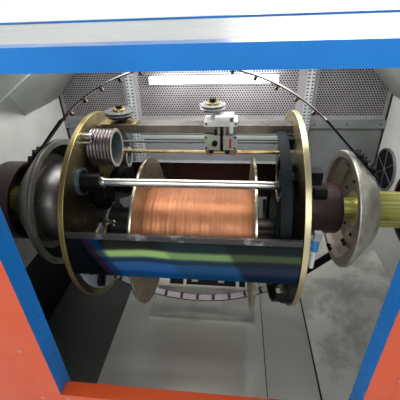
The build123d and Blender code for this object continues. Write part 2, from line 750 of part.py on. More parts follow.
def trunnion(radius, length):
    """Drum on an end plate's outside, bored for the shaft's nose, with a flange and a rounded end."""
    bore = SHAFT_NOSE_RADIUS + RUNNING
    face, end = PLATE_OUTER, PLATE_OUTER + length
    seat = end - NOSE_SEAT
    flange = radius + TRUNNION_FLANGE
    step = face + TRUNNION_FLANGE_DEPTH
    edge = TRUNNION_ROUND * (1 - sqrt(0.5))
    return turned([
        (face, 0.0), (face, flange), (step, flange), (step, radius), (end - TRUNNION_ROUND, radius),
        (end, radius - TRUNNION_ROUND), (end, bore), (seat, bore), (seat, 0.0),
    ], arcs={4: (end - edge, radius - edge)})


def right_trunnion():
    return trunnion(RIGHT_TRUNNION_RADIUS, RIGHT_TRUNNION_LENGTH)


def left_trunnion():
    return mirrored(trunnion(LEFT_TRUNNION_RADIUS, LEFT_TRUNNION_LENGTH))


def tie_front():
    """Front side of the top tie bar."""
    return TIE_Y - TIE_WIDTH / 2


def top_tie_bar():
    return block(-inner_face(), inner_face(), tie_front(), TIE_Y + TIE_WIDTH / 2,
                 TIE_Z - TIE_DEPTH / 2, TIE_Z + TIE_DEPTH / 2)


def rod_drum_end():
    """Where the front rod starts, at the end of its drum."""
    return -inner_face() + ROD_FLANGE + ROD_DRUM_LENGTH


def guard_left():
    """Left edge of the curved guard over the belt."""
    return inner_face() - GUARD_INSET - GUARD_WIDTH


def tie_rods():
    """Bright rods: the front one from its drum to the guard's lug, the rear one from plate to plate."""
    return [drum(ROD_RADIUS, rod_drum_end(), guard_left() - LUG / 2, -ROD_Y, ROD_Z),
            drum(ROD_RADIUS, -inner_face(), inner_face(), ROD_Y, ROD_Z)]


def rod_drum():
    face = -inner_face()
    return turned([(face, 0), (face, ROD_FLANGE_RADIUS), (face + ROD_FLANGE, ROD_FLANGE_RADIUS),
                   (face + ROD_FLANGE, ROD_DRUM_RADIUS), (rod_drum_end(), ROD_DRUM_RADIUS),
                   (rod_drum_end(), 0)], -ROD_Y, ROD_Z)


def belt_guards():
    """Curved guards over and under the belt, with the lugs that carry them."""
    outer = GUARD_RADIUS + GUARD
    start = degrees(acos((tie_front() - SEAM) / outer))
    left = guard_left()
    upper = arc_bar(GUARD_RADIUS, outer, left, left + GUARD_WIDTH, start, GUARD_END)
    upper += lug(left + GUARD_WIDTH - LUG_DEPTH, inner_face(), GUARD_RADIUS - LUG, GUARD_RADIUS + 1,
                 (start + 90) / 2 + 10, LUG)
    upper += lug(left + GUARD_WIDTH - LUG_DEPTH, inner_face(), GUARD_RADIUS - LUG, GUARD_RADIUS + 1,
                 GUARD_END - 10, LUG)
    rod_angle = 180 - degrees(atan2(ROD_Z, ROD_Y))
    rod_reach = hypot(ROD_Y, ROD_Z)
    end = guard_left() - LUG / 2
    upper += lug(end, end + ROD_LUG, rod_reach - ROD_RADIUS, GUARD_RADIUS + 1, rod_angle, ROD_LUG_WIDTH)

    right = inner_face() - LOWER_GUARD_INSET
    start, stop = LOWER_GUARD_SPAN
    lower = arc_bar(LOWER_GUARD_RADIUS, LOWER_GUARD_RADIUS + GUARD, right - LOWER_GUARD_WIDTH, right, start, stop)
    for angle in (start + 10, (start + stop) / 2, stop - 10):
        lower += lug(right - LUG_DEPTH, inner_face(), LOWER_GUARD_RADIUS + 1,
                     LOWER_GUARD_RADIUS + GUARD + LOWER_LUG, angle, LUG)
    return [upper, lower]


def cradle_covers():
    """Bent sheets between the plates, in front of and behind the bobbin, the front one with a lip."""
    inner = COVER_RADIUS - COVER_THICKNESS
    face = inner_face()
    front = arc_bar(inner, COVER_RADIUS, -face, face, *FRONT_COVER)
    front += arc_bar(COVER_RADIUS - COVER_LIP, COVER_RADIUS, -face, face, FRONT_COVER[0],
                     FRONT_COVER[0] + COVER_LIP_ANGLE)
    return [front, arc_bar(inner, COVER_RADIUS, -face, face, *REAR_COVER)]


def pintle_housings():
    """Left bearing housing with the steel plate round it, and the right bearing ring."""
    face = inner_face()
    z = -BOBBIN_DROP
    lip = HOUSING_RADIUS + HOUSING_LIP
    left = drum(lip, -face, -face + HOUSING_LIP_DEPTH, 0, z)
    left += drum(HOUSING_RADIUS, -face + HOUSING_LIP_DEPTH, -face + HOUSING_DEPTH, 0, z)
    left -= drum(PINTLE_RADIUS + RUNNING, -face + HOUSING_LIP_DEPTH, -face + HOUSING_DEPTH + 1, 0, z)
    plate = arc_bar(PINTLE_PLATE_HOLE, PINTLE_PLATE_RADIUS, -face, -face + PINTLE_PLATE, *PINTLE_PLATE_SPAN)
    right = drum(lip, face - RIGHT_HOUSING_LIP_DEPTH, face, 0, z)
    right -= drum(JOURNAL_RADIUS + RUNNING, face - RIGHT_HOUSING_LIP_DEPTH - 1, face + 1, 0, z)
    return [left + plate, right]


# Bobbin
def bobbin_ends():
    return BOBBIN_X - BOBBIN_WIDTH / 2, BOBBIN_X + BOBBIN_WIDTH / 2


def bobbin():
    """Flanges that taper towards their rims, on a barrel."""
    x0, x1 = bobbin_ends()
    rim = FLANGE - FLANGE_TAPER
    return turned([
        (x0, BOBBIN_BORE), (x0, FLANGE_RADIUS), (x0 + rim, FLANGE_RADIUS),
        (x0 + FLANGE, BARREL_RADIUS), (x1 - FLANGE, BARREL_RADIUS),
        (x1 - rim, FLANGE_RADIUS), (x1, FLANGE_RADIUS), (x1, BOBBIN_BORE),
    ], 0, -BOBBIN_DROP)


def copper_winding():
    x0, x1 = bobbin_ends()
    foot = BARREL_RADIUS + SEAM
    taper = FLANGE - FLANGE_TAPER * (WINDING_RADIUS - BARREL_RADIUS) / (FLANGE_RADIUS - BARREL_RADIUS)
    return turned([
        (x0 + FLANGE + SEAM, foot), (x0 + taper + SEAM, WINDING_RADIUS),
        (x1 - taper - SEAM, WINDING_RADIUS), (x1 - FLANGE - SEAM, foot),
    ], 0, -BOBBIN_DROP)


def belt_x():
    """Middle of the belt."""
    return inner_face() - BELT_INSET


def pulley_side():
    """Half the width of a belt pulley."""
    return BELT_WIDTH / 2 + BELT_SIDE + PULLEY_RIM


def bobbin_pintles():
    x0, x1 = bobbin_ends()
    left = drum(PINTLE_RADIUS, -inner_face() + HOUSING_LIP_DEPTH + SEAM, x0, 0, -BOBBIN_DROP)
    right = drum(PINTLE_RADIUS, x1, belt_x() - pulley_side(), 0, -BOBBIN_DROP)
    return [left, right]


def rimmed(radius, journal, hub, y, z):
    """Flat belt pulley with a rim either side, a sunk left face and a journal that runs to the right."""
    half = BELT_WIDTH / 2 + BELT_SIDE
    x0, x1 = belt_x() - pulley_side(), belt_x() + pulley_side()
    lip = radius + PULLEY_LIP
    sunk = x0 + PULLEY_RECESS
    end = inner_face() - SEAM
    return turned([
        (x0, 0.0), (x0, hub), (sunk, hub), (sunk, radius - PULLEY_RING), (x0, radius - PULLEY_RING),
        (x0, lip), (belt_x() - half, lip), (belt_x() - half, radius), (belt_x() + half, radius),
        (belt_x() + half, lip), (x1, lip), (x1, journal), (end, journal), (end, 0.0),
    ], y, z)


def bobbin_pulley():
    return rimmed(BOBBIN_PULLEY_RADIUS, JOURNAL_RADIUS, PINTLE_RADIUS, 0, -BOBBIN_DROP)


def drive_pulley():
    return rimmed(DRIVE_PULLEY_RADIUS, DRIVE_JOURNAL, DRIVE_JOURNAL + CAPSTAN_HUB, DRIVE_Y, DRIVE_Z)


def drive_belt():
    """Flat belt round the two pulleys, a closed loop."""
    def loop(extra):
        big = BOBBIN_PULLEY_RADIUS + BELT_CLEAR + extra
        small = DRIVE_PULLEY_RADIUS + BELT_CLEAR + extra
        dy, dz = DRIVE_Y, DRIVE_Z + BOBBIN_DROP
        distance = hypot(dy, dz)
        lean = atan2(dy, dz)
        s = (big - small) / distance
        c = sqrt(1 - s ** 2)
        straight = Polyline((big * c, big * s), (small * c, distance + small * s),
                            (-small * c, distance + small * s), (-big * c, big * s), close=True)
        body = make_face(straight) + Circle(big) + Pos(0, distance) * Circle(small)
        return Rot(0, 0, -degrees(lean)) * body
    band = loop(BELT) - loop(0)
    plane = Plane(origin=(belt_x() - BELT_WIDTH / 2, 0, -BOBBIN_DROP), x_dir=(0, 1, 0), z_dir=(1, 0, 0))
    return plane * extrude(band, BELT_WIDTH)


# Capstans
def capstan_left(inset):
    """Left side of a capstan that stands off the left end plate."""
    return -inner_face() + inset


def grooved(inset, width, radius, grooves, y, z):
    """Drum with wire grooves and a deep hollow on its right side."""
    x0 = capstan_left(inset)
    x1 = x0 + width
    land = width / grooves
    web = x0 + CAPSTAN_WEB
    hub = AXLE_RADIUS + CAPSTAN_HUB
    points = [(x0, radius)]
    for i in range(grooves):
        points += [(x0 + land * (i + 0.5), radius - GROOVE_DEPTH), (x0 + land * (i + 1), radius)]
    points += [(x1, radius - CAPSTAN_WALL), (web, radius - CAPSTAN_WALL), (web, hub), (web + CAPSTAN_HUB, hub),
               (web + CAPSTAN_HUB, AXLE_RADIUS + RUNNING), (x0, AXLE_RADIUS + RUNNING)]
    return turned(points, y, z)


def large_capstan():
    return grooved(CAPSTAN_INSET, CAPSTAN_WIDTH, CAPSTAN_RADIUS, CAPSTAN_GROOVES, CAPSTAN_Y, CAPSTAN_Z)


def small_capstan():
    return grooved(SMALL_CAPSTAN_INSET, SMALL_CAPSTAN_WIDTH, SMALL_CAPSTAN_RADIUS, SMALL_CAPSTAN_GROOVES,
                   SMALL_CAPSTAN_Y, SMALL_CAPSTAN_Z)


def capstan_axles():
    """Axles that stand out from the left end plate and show past their capstan's hub."""
    def axle(inset, y, z):
        return drum(AXLE_RADIUS, -inner_face(), capstan_left(inset) + CAPSTAN_WEB + CAPSTAN_HUB + AXLE_END, y, z)
    return [axle(CAPSTAN_INSET, CAPSTAN_Y, CAPSTAN_Z), axle(SMALL_CAPSTAN_INSET, SMALL_CAPSTAN_Y, SMALL_CAPSTAN_Z)]


# Traverse
def traverse_rods():
    return drum(TRAVERSE_ROD_RADIUS, -inner_face(), inner_face(), TIE_Y, TRAVERSE_Z)


def guide_height(disc_foot):
    """Height of a guide pulley's middle over the foot of its fixed disc."""
    return disc_foot + DISC + GUIDE_GAP + GUIDE_WIDTH / 2


def guide_pin(x, y, base, disc_foot, radius):
    """Pin with the fixed disc under a guide pulley."""
    cap = guide_height(disc_foot) + GUIDE_WIDTH / 2 + GUIDE_HUB_HEIGHT + GUIDE_CAP
    return upright(PIN_RADIUS, x, y, base, cap) + upright(radius, x, y, disc_foot, disc_foot + DISC)


def guide_pulley(radius, x, y, z):
    """Horizontal guide pulley with a V groove and a raised hub."""
    w = GUIDE_WIDTH / 2
    top = w + GUIDE_HUB_HEIGHT
    bore = PIN_RADIUS + RUNNING
    face = outline([(bore, -w), (radius, -w), (radius, 1 - w), (radius - GUIDE_GROOVE, 0), (radius, w - 1),
                    (radius, w), (GUIDE_HUB, w), (GUIDE_HUB, top), (bore, top)])
    return Pos(x, y, z) * revolve(Plane.XZ * face, Axis.Z, 360)


def carriage_top():
    """Upper face of the carriage's plate over the tie bar."""
    return TIE_Z + TIE_DEPTH / 2 + CARRIAGE_SLIDE + CARRIAGE_TOP


def traverse_carriage():
    """Body under the tie bar, legs round the rod, plate over the bar, front posts, bracket and pin."""
    x0, x1 = CARRIAGE_X - CARRIAGE_WIDTH / 2, CARRIAGE_X + CARRIAGE_WIDTH / 2
    front, back = TIE_Y - CARRIAGE_DEPTH / 2, TIE_Y + CARRIAGE_DEPTH / 2
    porch = front - CARRIAGE_PORCH
    under = TIE_Z - TIE_DEPTH / 2 - CARRIAGE_SLIDE
    over = TIE_Z + TIE_DEPTH / 2 + CARRIAGE_SLIDE
    floor = under - CARRIAGE_BODY
    top = carriage_top()
    leg_foot = TRAVERSE_Z - CARRIAGE_LEG_REACH

    carriage = block(x0, x1, porch, back, floor, under)
    for x in (x0, x1 - CARRIAGE_LEG):
        carriage += block(x, x + CARRIAGE_LEG, TIE_Y - CARRIAGE_LEG_DEPTH / 2, TIE_Y + CARRIAGE_LEG_DEPTH / 2,
                          leg_foot, floor)
    carriage -= drum(TRAVERSE_ROD_RADIUS + RUNNING, x0 - 1, x1 + 1, TIE_Y, TRAVERSE_Z)
    carriage += block(x0, x1, porch, back, over, top)
    for place in CARRIAGE_POST_PLACES:
        carriage += upright(CARRIAGE_POST, CARRIAGE_X + place, porch + CARRIAGE_POST + 1, floor + SHEET,
                            top - SHEET)
    b0, b1 = CARRIAGE_BRACKET
    carriage += block(CARRIAGE_X + b0, CARRIAGE_X + b1, porch, front + CARRIAGE_DEPTH / 2, top,
                      top + CARRIAGE_BRACKET_HEIGHT)
    return carriage + guide_pin(CARRIAGE_X + PIN_PLACE, TIE_Y, top, top + DISC_LIFT, DISC_RADIUS)


def right_guide_pulley():
    return guide_pulley(RIGHT_GUIDE_RADIUS, CARRIAGE_X + PIN_PLACE, TIE_Y, guide_height(carriage_top() + DISC_LIFT))


def left_post_top():
    return TIE_Z + TIE_DEPTH / 2 + LEFT_POST_HEIGHT


def pulley_post():
    x = -inner_face() + LEFT_GUIDE_INSET
    base = block(x - LEFT_POST, x + LEFT_POST, TIE_Y - LEFT_POST, TIE_Y + LEFT_POST,
                 TIE_Z + TIE_DEPTH / 2, left_post_top())
    top = left_post_top()
    return base + guide_pin(x, TIE_Y, top, top + LEFT_DISC_LIFT, LEFT_GUIDE_RADIUS - DISC)


def left_guide_pulley():
    z = guide_height(left_post_top() + LEFT_DISC_LIFT)
    return guide_pulley(LEFT_GUIDE_RADIUS, -inner_face() + LEFT_GUIDE_INSET, TIE_Y, z)


# Small fittings on the right end plate, as (x0, x1, y0, y1, z0, z1) from the plate's outer or inner face
OUTSIDE_SENSOR = (0.0, 38.0, -265.0, -222.0, 250.0, 296.0)
BAR_BRACKET = (-30.0, 0.0, -30.0, 15.0, 274.0, 319.0)
KNOB_STEM = 8.0
KNOB_RADIUS = 22.0
KNOB_Y = -215.0
KNOB_Z = 195.0
KNOB_START = 30.0
KNOB_END = 72.0
CYLINDER_STAND_OFF = 30.0
CYLINDER_Y = -330.0
CYLINDER_FOOT = -31.0
CYLINDER_TUBE = 8.0
CYLINDER_LOW = 44.0
CYLINDER_HIGH = 86.0
CYLINDER_RADIUS = 13.0
CYLINDER_CAP = 16.0
CYLINDER_TOP = 119.0
CYLINDER_MOUNT = (56.0, 76.0)


def sensor_blocks():
    """Black fittings: a sensor and a knob outside the plate, a bracket inside under the tie bar."""
    def fitting(face, box):
        x0, x1, y0, y1, z0, z1 = box
        return block(face + x0, face + x1, y0, y1, z0, z1)
    knob = drum(KNOB_STEM, PLATE_OUTER, PLATE_OUTER + KNOB_START, KNOB_Y, KNOB_Z)
    knob += drum(KNOB_RADIUS, PLATE_OUTER + KNOB_START, PLATE_OUTER + KNOB_END, KNOB_Y, KNOB_Z)
    return [fitting(PLATE_OUTER, OUTSIDE_SENSOR), fitting(inner_face(), BAR_BRACKET), knob]


def air_cylinder():
    """Small cylinder beside the right end plate, with its tube below and its block above."""
    x, y = PLATE_OUTER + CYLINDER_STAND_OFF, CYLINDER_Y
    body = upright(CYLINDER_TUBE, x, y, CYLINDER_FOOT, CYLINDER_LOW)
    body += upright(CYLINDER_RADIUS, x, y, CYLINDER_LOW, CYLINDER_HIGH)
    body += block(x - CYLINDER_TUBE, x + CYLINDER_CAP, y - CYLINDER_CAP / 2, y + CYLINDER_CAP / 2,
                  CYLINDER_HIGH, CYLINDER_TOP)
    low, high = CYLINDER_MOUNT
    return body + block(PLATE_OUTER, x, y - CYLINDER_TUBE, y + CYLINDER_TUBE, low, high)


NODES = [
    base_frame, machine_feet, frame_posts, top_rails, roof_panel,
    front_panels, front_sill_panel, end_panels, rear_outer_panels,
    end_walls, rear_lower_panels, rear_perforated_panels, seam_rail, cable_ducts, hip_panels,
    floor_trays, lift_table, rear_hatch, shaft_bearings, fan_grille, work_light,
    rotor_dishes, rotor_shafts, left_dome, rotor_bows, bow_shoes, bow_clamps, bow_eyelets,
    end_plates, left_trunnion, right_trunnion, top_tie_bar, tie_rods, rod_drum, belt_guards, cradle_covers,
    pintle_housings, drive_belt, capstan_axles, traverse_rods, pulley_post, sensor_blocks, air_cylinder,
    bobbin, copper_winding, bobbin_pintles, bobbin_pulley,
    drive_pulley, large_capstan, small_capstan,
    traverse_carriage, right_guide_pulley, left_guide_pulley,
]

os.makedirs("parts", exist_ok=True)
for make in NODES:
    made = make()
    if isinstance(made, list):
        made = Compound(made)
    export_step(PLACE * made, f"parts/{make.__name__}.step")
    print(make.__name__)
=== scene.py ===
import json
import math

import bmesh
import bpy
from bpy.props import FloatProperty, FloatVectorProperty, IntProperty, PointerProperty
from mathutils import Matrix, Vector


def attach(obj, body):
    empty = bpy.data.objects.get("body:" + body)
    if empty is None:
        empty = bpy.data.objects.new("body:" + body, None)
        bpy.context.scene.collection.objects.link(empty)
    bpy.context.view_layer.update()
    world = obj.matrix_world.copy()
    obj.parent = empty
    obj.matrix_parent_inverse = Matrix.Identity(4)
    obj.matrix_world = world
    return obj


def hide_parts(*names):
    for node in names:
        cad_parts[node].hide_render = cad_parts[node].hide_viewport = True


bl_info = {
    "name": "Wire bunching machine",
    "version": (1, 0, 0),
    "blender": (4, 5, 0),
    "location": "3D View > Sidebar > Bunching machine",
    "description": "Finishes the wire bunching machine round its fixed frame",
    "category": "Object",
}

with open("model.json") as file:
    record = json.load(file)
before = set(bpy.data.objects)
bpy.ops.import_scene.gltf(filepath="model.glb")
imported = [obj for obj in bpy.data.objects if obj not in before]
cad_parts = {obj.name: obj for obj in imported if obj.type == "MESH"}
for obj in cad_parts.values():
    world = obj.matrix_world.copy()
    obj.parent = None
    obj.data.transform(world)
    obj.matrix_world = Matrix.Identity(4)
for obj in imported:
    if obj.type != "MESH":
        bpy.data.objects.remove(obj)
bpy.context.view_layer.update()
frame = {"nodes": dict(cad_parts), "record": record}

# Sizes below are in millimetres from the rotor axis, half way between the cradle's end plates:
# x along the axis to the right, y to the back, z up.
MM = 0.001
AXIS = Vector((-0.06, 0.0, 0.85))
ORIGIN = Vector((0.0, 0.0, 0.0))
LEFT, RIGHT = (-1.0, 0.0, 0.0), (1.0, 0.0, 0.0)
FRONT, BACK, UP = (0.0, -1.0, 0.0), (0.0, 1.0, 0.0), (0.0, 0.0, 1.0)

# Vertices nearer than this, in metres, are one, and edges sharper than this, in degrees, stay sharp
WELD = 2e-6
SHARP = 35.0

# Camera, fitted to the photograph
CAMERA_PLACE = Vector((0.1091, -1.1884, 1.6104))
CAMERA_TURN = math.radians(-6.85)
CAMERA_TILT = math.radians(-29.87)
CAMERA_ROLL = math.radians(2.15)
CAMERA_LENS = 29.05
CAMERA_SHIFT = -0.025

# Cabinet: bays of the outer panels, their faces, and the panel screws
FRONT_BAYS = [(-1230, -437), (601, 1350)]
REAR_BAYS = [(-1230, -437), (-377, 541), (601, 1350)]
FRONT_FACE, SILL_FACE, REAR_FACE = -652, -660, 650
LEFT_FACE, RIGHT_FACE = -1290, 1410
SILL_SCREWS = [(-357, -352), (521, -352)]
SCREW_LOW, SCREW_HIGH = -630.0, 640.0
SCREW_INSET = 20
SCREW_SINK = 3.45
# Where second finishes start: on the bearers' tops, the posts' fronts, and the posts between the end posts
BEARER_Z, BEARER_Y = -655, 400
POST_FRONT = -600
MIDDLE_X, MIDDLE_REACH = 60, 1200

# Chamber: its lining, sheets with holes, cable ducts, corners and fan
LINING_FRONT = 623.6
LINING_BAYS = [(-856.6, -438.4), (-397.6, 537.6), (578.4, 989.6)]
PUNCHED = [(-856.6, -438.4), (-397.6, 522.0), (578.4, 989.6)]
SHEET_FOOT, SHEET_TOP = 182.4, 669.6
HOLE_MARGIN = 9.0
FLANGE_Z = 159.0
DUCTS = [-418.0, 558.0]
DUCT_FOOT = -343.0
DUCT_FRONT, DUCT_BACK = 596.0, 629.6
DUCT_HALF, DUCT_WALL, FINGER_X = 20.0, 1.5, 12.5
SEAL_TOP = 669.0
LEFT_WALL, RIGHT_WALL = -857.0, 990.0
HOUSING_FOOT = 30.4
SLOPE_X = 545.0
FAN = (977.0, 480.0, -48.0)
FAN_RADIUS = 107.0
INSPECTION_Z = [-92.0, -76.0, 62.0, 88.0]

# Rotor: bows on an arc, with eyelets at equal angles, and two dishes
ROTOR_X = -8.0
BOW_PEAK = 583.0
BOW_ARC = 725.0
BOW_WIDTH = 42.0
EYELETS = 13
EYELET_SPREAD = 40.0
EYELET_INSET, CLIP_INSET = 9.6, 1.2
# Wear strips: gap at each end in degrees, steps along the arc, and section of (inset, y) corners
STRIP_GAP, STRIP_STEPS = 0.6, 5
STRIP = [(0.3, -18.5), (1.9, -17.5), (1.9, 17.5), (0.3, 18.5)]
# The straight end of a bow: its direction and its start
BOW_STEP = (0.6972, -0.7172)
BOW_END = (520.0, 363.2)
# Clamp screws: how far outside that line, their steps along it, and their and the bolts' places across it
CLAMP_OUT = 20.4
CLAMP_STEPS, CLAMP_SCREW_Y, CLAMP_BOLT_Y = (175.0, 215.0, 260.0), 17.0, 12.0
BOLT_CIRCLE_X, BOLT_CIRCLE = 665.2, 112.0
# Dishes: rise of the cone, width of the ring, its front before the rim, depth to the floor, and wall
CONE_SLOPE = 0.9721
DISH_RING = 30.0
DISH_RIM = 16.0
DISH_DEPTH = 58.0
DISH_WALL = 19.5
# Faces that look so far from the axis, or towards it, count as a dish's outside or inside
TURNED_AWAY = 20.0
FLANGE_RADIUS, RECESS_FROM, RECESS_TO = 250.0, 170.0, 256.0
ROSY_SLOPE, ROSY_Z = -2.4, -150.0
# The bows' outer faces are painted paler as light right of this x and this far from the axis
BRIGHT_STRIP_X, BRIGHT_STRIP_Z = -430.0, 200.0
# Side, rim's x, ring's, back's and shaft's radius, and the clamp bolts: drop from the rim, step forward
DISHES = [(-1, 592.4, 283.0, 165.0, 61.0, [(36.0, 0.0), (54.0, 0.0)]),
          (1, 631.3, 243.0, 150.0, 75.0, [(31.0, 27.0), (62.0, 0.0)])]

# Cradle: end plates, covers, rods, bobbin, carriage, capstans and guide pulleys
PLATE_INSIDE, PLATE_OUTSIDE = 388.0, 408.0
GUARD_FOOT = -230.0
REAR_LIP, FRONT_LIP = math.radians(2.4), math.radians(166.0)
DRUM_FACE_X = -310.0
FITTING_X = -387.6
ROD_Y, ROD_Z = 200.0, 213.0
BOBBIN_Z = -139.0
BOBBIN = (-215.5, 259.5)
BOBBIN_RIM = 331.5
BARREL_RADIUS = 180.0
WINDING_RADIUS = 206.0
WINDING_STEPS = 110
CARRIAGE_FRONT = 0.0
# Name, left face, width, radius, grooves, y, z
CAPSTANS = [("large", -374.0, 90.0, 74.0, 7, -60.0, 290.0), ("small", -342.0, 44.0, 46.0, 4, 100.0, 178.0)]
STRAND_RADIUS, GROOVE_DEPTH, HOLLOW_DEPTH = 1.3, 3.2, 14.1
# Name, the pulley's body, the knob's body, x, underside of the hub
GUIDES = [("right", "guide_a", "traverse", 82.0, 428.0), ("left", "guide_b", "cradle", -292.0, 404.0)]
GUIDE_Y = 50.0


def linear(code):
    """Linear colour from an sRGB hex code such as 8F9089."""
    parts = [int(code[i:i + 2], 16) / 255 for i in (0, 2, 4)]
    return tuple(c / 12.92 if c <= 0.04045 else ((c + 0.055) / 1.055) ** 2.4 for c in parts) + (1.0,)


def at(x, y, z):
    """Place in the frame, in metres, of a point in millimetres from the rotor axis."""
    return AXIS + Vector((x, y, z)) * MM


def add(tree, kind, inputs=None, **settings):
    """Adds a node, with its settings, and its inputs given as values or as other nodes' outputs."""
    node = tree.nodes.new(kind)
    for key, value in settings.items():
        setattr(node, key, value)
    for key, value in (inputs or {}).items():
        if isinstance(value, bpy.types.NodeSocket):
            tree.links.new(value, node.inputs[key])
        else:
            node.inputs[key].default_value = value
    return node


# Finishes
BAR_MM = 60.0  # streaks along a bar are spaced as on one of this radius
END_SLANT, END_SOFT = 0.5, 9.0  # end colours take over past x + slant z, over this many mm each side
SWAY_MM = 250.0  # length of the waves in a zone's edge
RUB_MM = 83.3333  # width of the spots that are rubbed smoother or duller
# Where in their noise the rubbed spots and the tinted lines begin and end, and a patch's share over zones
RUB_SPAN, TINT_SPAN, ZONE_PATCH = (0.3, 0.7), (0.4, 0.65), 0.25


def finish(name, code, metallic=0.0, roughness=0.5, patch=None, patch_mm=150.0, patch_span=(0.42, 0.62),
           spread=0.08, grain_mm=4.0, grain=0.1, lines=None, line_mm=1.5, line=0.1, tint=None,
           zones=None, soft=0.05, wave=0.0, ends=(), specular=0.5, glow=0.0):
    """A material with patches of a second colour, a fine grain, and the lines that turning or winding
    leaves, or painted streaks of reflected light.
    lines is X for lines round a bar along the rotor axis, bar for painted streaks of reflected light along
    one, or the (y, z) of the axis that rings lie about.
    zones is (axis, [(from mm, code), ...]) where one casting or block is painted in several colours, or
    carries bands of painted light, shade and reflection, which run into each other over soft mm, along
    lines that wander by wave mm.
    ends is [(mm along x, side, code, share), ...] for colours, such as painted reflections, that take over
    past a slanting line."""
    material = bpy.data.materials.new(name)
    material.use_nodes = True
    tree = material.node_tree
    tree.nodes.clear()
    shader = add(tree, "ShaderNodeBsdfPrincipled", {
        "Base Color": linear(code), "Metallic": metallic, "Roughness": roughness,
        "Specular IOR Level": specular, "Emission Strength": glow})
    add(tree, "ShaderNodeOutputMaterial", {"Surface": shader.outputs[0]})
    place = add(tree, "ShaderNodeTexCoord").outputs["Object"]
    centred = add(tree, "ShaderNodeVectorMath", {0: place, 1: tuple(AXIS)}, operation="SUBTRACT").outputs[0]
    x, y, z = add(tree, "ShaderNodeSeparateXYZ", {0: centred}).outputs

    # Colours that cover each other in this order, each with its share from 0 to 1
    layers = []
    if zones:
        axis, steps = zones
        along = {"X": x, "Z": z}[axis]
        if wave:
            sway = add(tree, "ShaderNodeTexNoise", {
                "Vector": place, "Scale": 1 / (SWAY_MM * MM), "Detail": 1.0}).outputs[0]
            along = add(tree, "ShaderNodeMath", {0: sway, 1: 4 * wave * MM, 2: along},
                        operation="MULTIPLY_ADD").outputs[0]
            along = add(tree, "ShaderNodeMath", {0: along, 1: 2 * wave * MM}, operation="SUBTRACT").outputs[0]
        for start, zone in steps:
            past = add(tree, "ShaderNodeMapRange", {0: along, 1: (start - soft) * MM, 2: (start + soft) * MM})
            layers.append((past, zone))
    if ends:
        slant = add(tree, "ShaderNodeMath", {0: z, 1: END_SLANT, 2: x}, operation="MULTIPLY_ADD").outputs[0]
        for start, side, end, most in ends:
            past = add(tree, "ShaderNodeMapRange", {
                0: slant, 1: (start - END_SOFT * side) * MM, 2: (start + END_SOFT * side) * MM, 4: most})
            layers.append((past, end))
    if patch:
        cloud = add(tree, "ShaderNodeTexNoise", {
            "Vector": place, "Scale": 1 / (patch_mm * MM), "Detail": 5.0, "Roughness": 0.6}).outputs[0]
        share = add(tree, "ShaderNodeMapRange", {
            0: cloud, 1: patch_span[0], 2: patch_span[1], 4: ZONE_PATCH if zones else 1.0})
        layers.append((share, patch))

    # Height of the surface, from the grain and the lines
    fine = add(tree, "ShaderNodeTexNoise", {
        "Vector": place, "Scale": 1 / (grain_mm * MM), "Detail": 3.0}).outputs[0]
    height = add(tree, "ShaderNodeMath", {0: fine, 1: grain}, operation="MULTIPLY").outputs[0]
    if lines:
        if lines == "X":
            run = x
        elif lines == "bar":
            run = add(tree, "ShaderNodeMath", {0: y, 1: z}, operation="ARCTAN2").outputs[0]
            run = add(tree, "ShaderNodeMath", {0: run, 1: BAR_MM * MM}, operation="MULTIPLY").outputs[0]
        else:
            arm = add(tree, "ShaderNodeVectorMath", {0: centred, 1: (0.0, lines[0] * MM, lines[1] * MM)},
                      operation="SUBTRACT").outputs[0]
            flat = add(tree, "ShaderNodeVectorMath", {0: arm, 1: (0.0, 1.0, 1.0)},
                       operation="MULTIPLY").outputs[0]
            run = add(tree, "ShaderNodeVectorMath", {0: flat}, operation="LENGTH").outputs["Value"]
        turns = add(tree, "ShaderNodeTexNoise", {"W": run, "Scale": 1 / (line_mm * MM), "Detail": 2.0},
                    noise_dimensions="1D").outputs[0]
        height = add(tree, "ShaderNodeMath", {0: turns, 1: line, 2: height},
                     operation="MULTIPLY_ADD").outputs[0]
        if tint:
            share = add(tree, "ShaderNodeMapRange", {0: turns, 1: TINT_SPAN[0], 2: TINT_SPAN[1]})
            layers.append((share, tint))
    bump = add(tree, "ShaderNodeBump", {"Height": height, "Strength": 0.5, "Distance": 1 * MM})
    tree.links.new(bump.outputs[0], shader.inputs["Normal"])

    colour = linear(code)
    for share, over in layers:
        colour = add(tree, "ShaderNodeMix", {0: share.outputs[0], 6: colour, 7: linear(over)},
                     data_type="RGBA").outputs[2]
    if layers:
        tree.links.new(colour, shader.inputs["Base Color"])
    if spread:
        rub = add(tree, "ShaderNodeTexNoise", {
            "Vector": place, "Scale": 1 / (RUB_MM * MM), "Detail": 4.0}).outputs[0]
        rough = add(tree, "ShaderNodeMapRange", {
            0: rub, 1: RUB_SPAN[0], 2: RUB_SPAN[1], 3: max(roughness - spread, 0.02), 4: roughness + spread})
        tree.links.new(rough.outputs[0], shader.inputs["Roughness"])


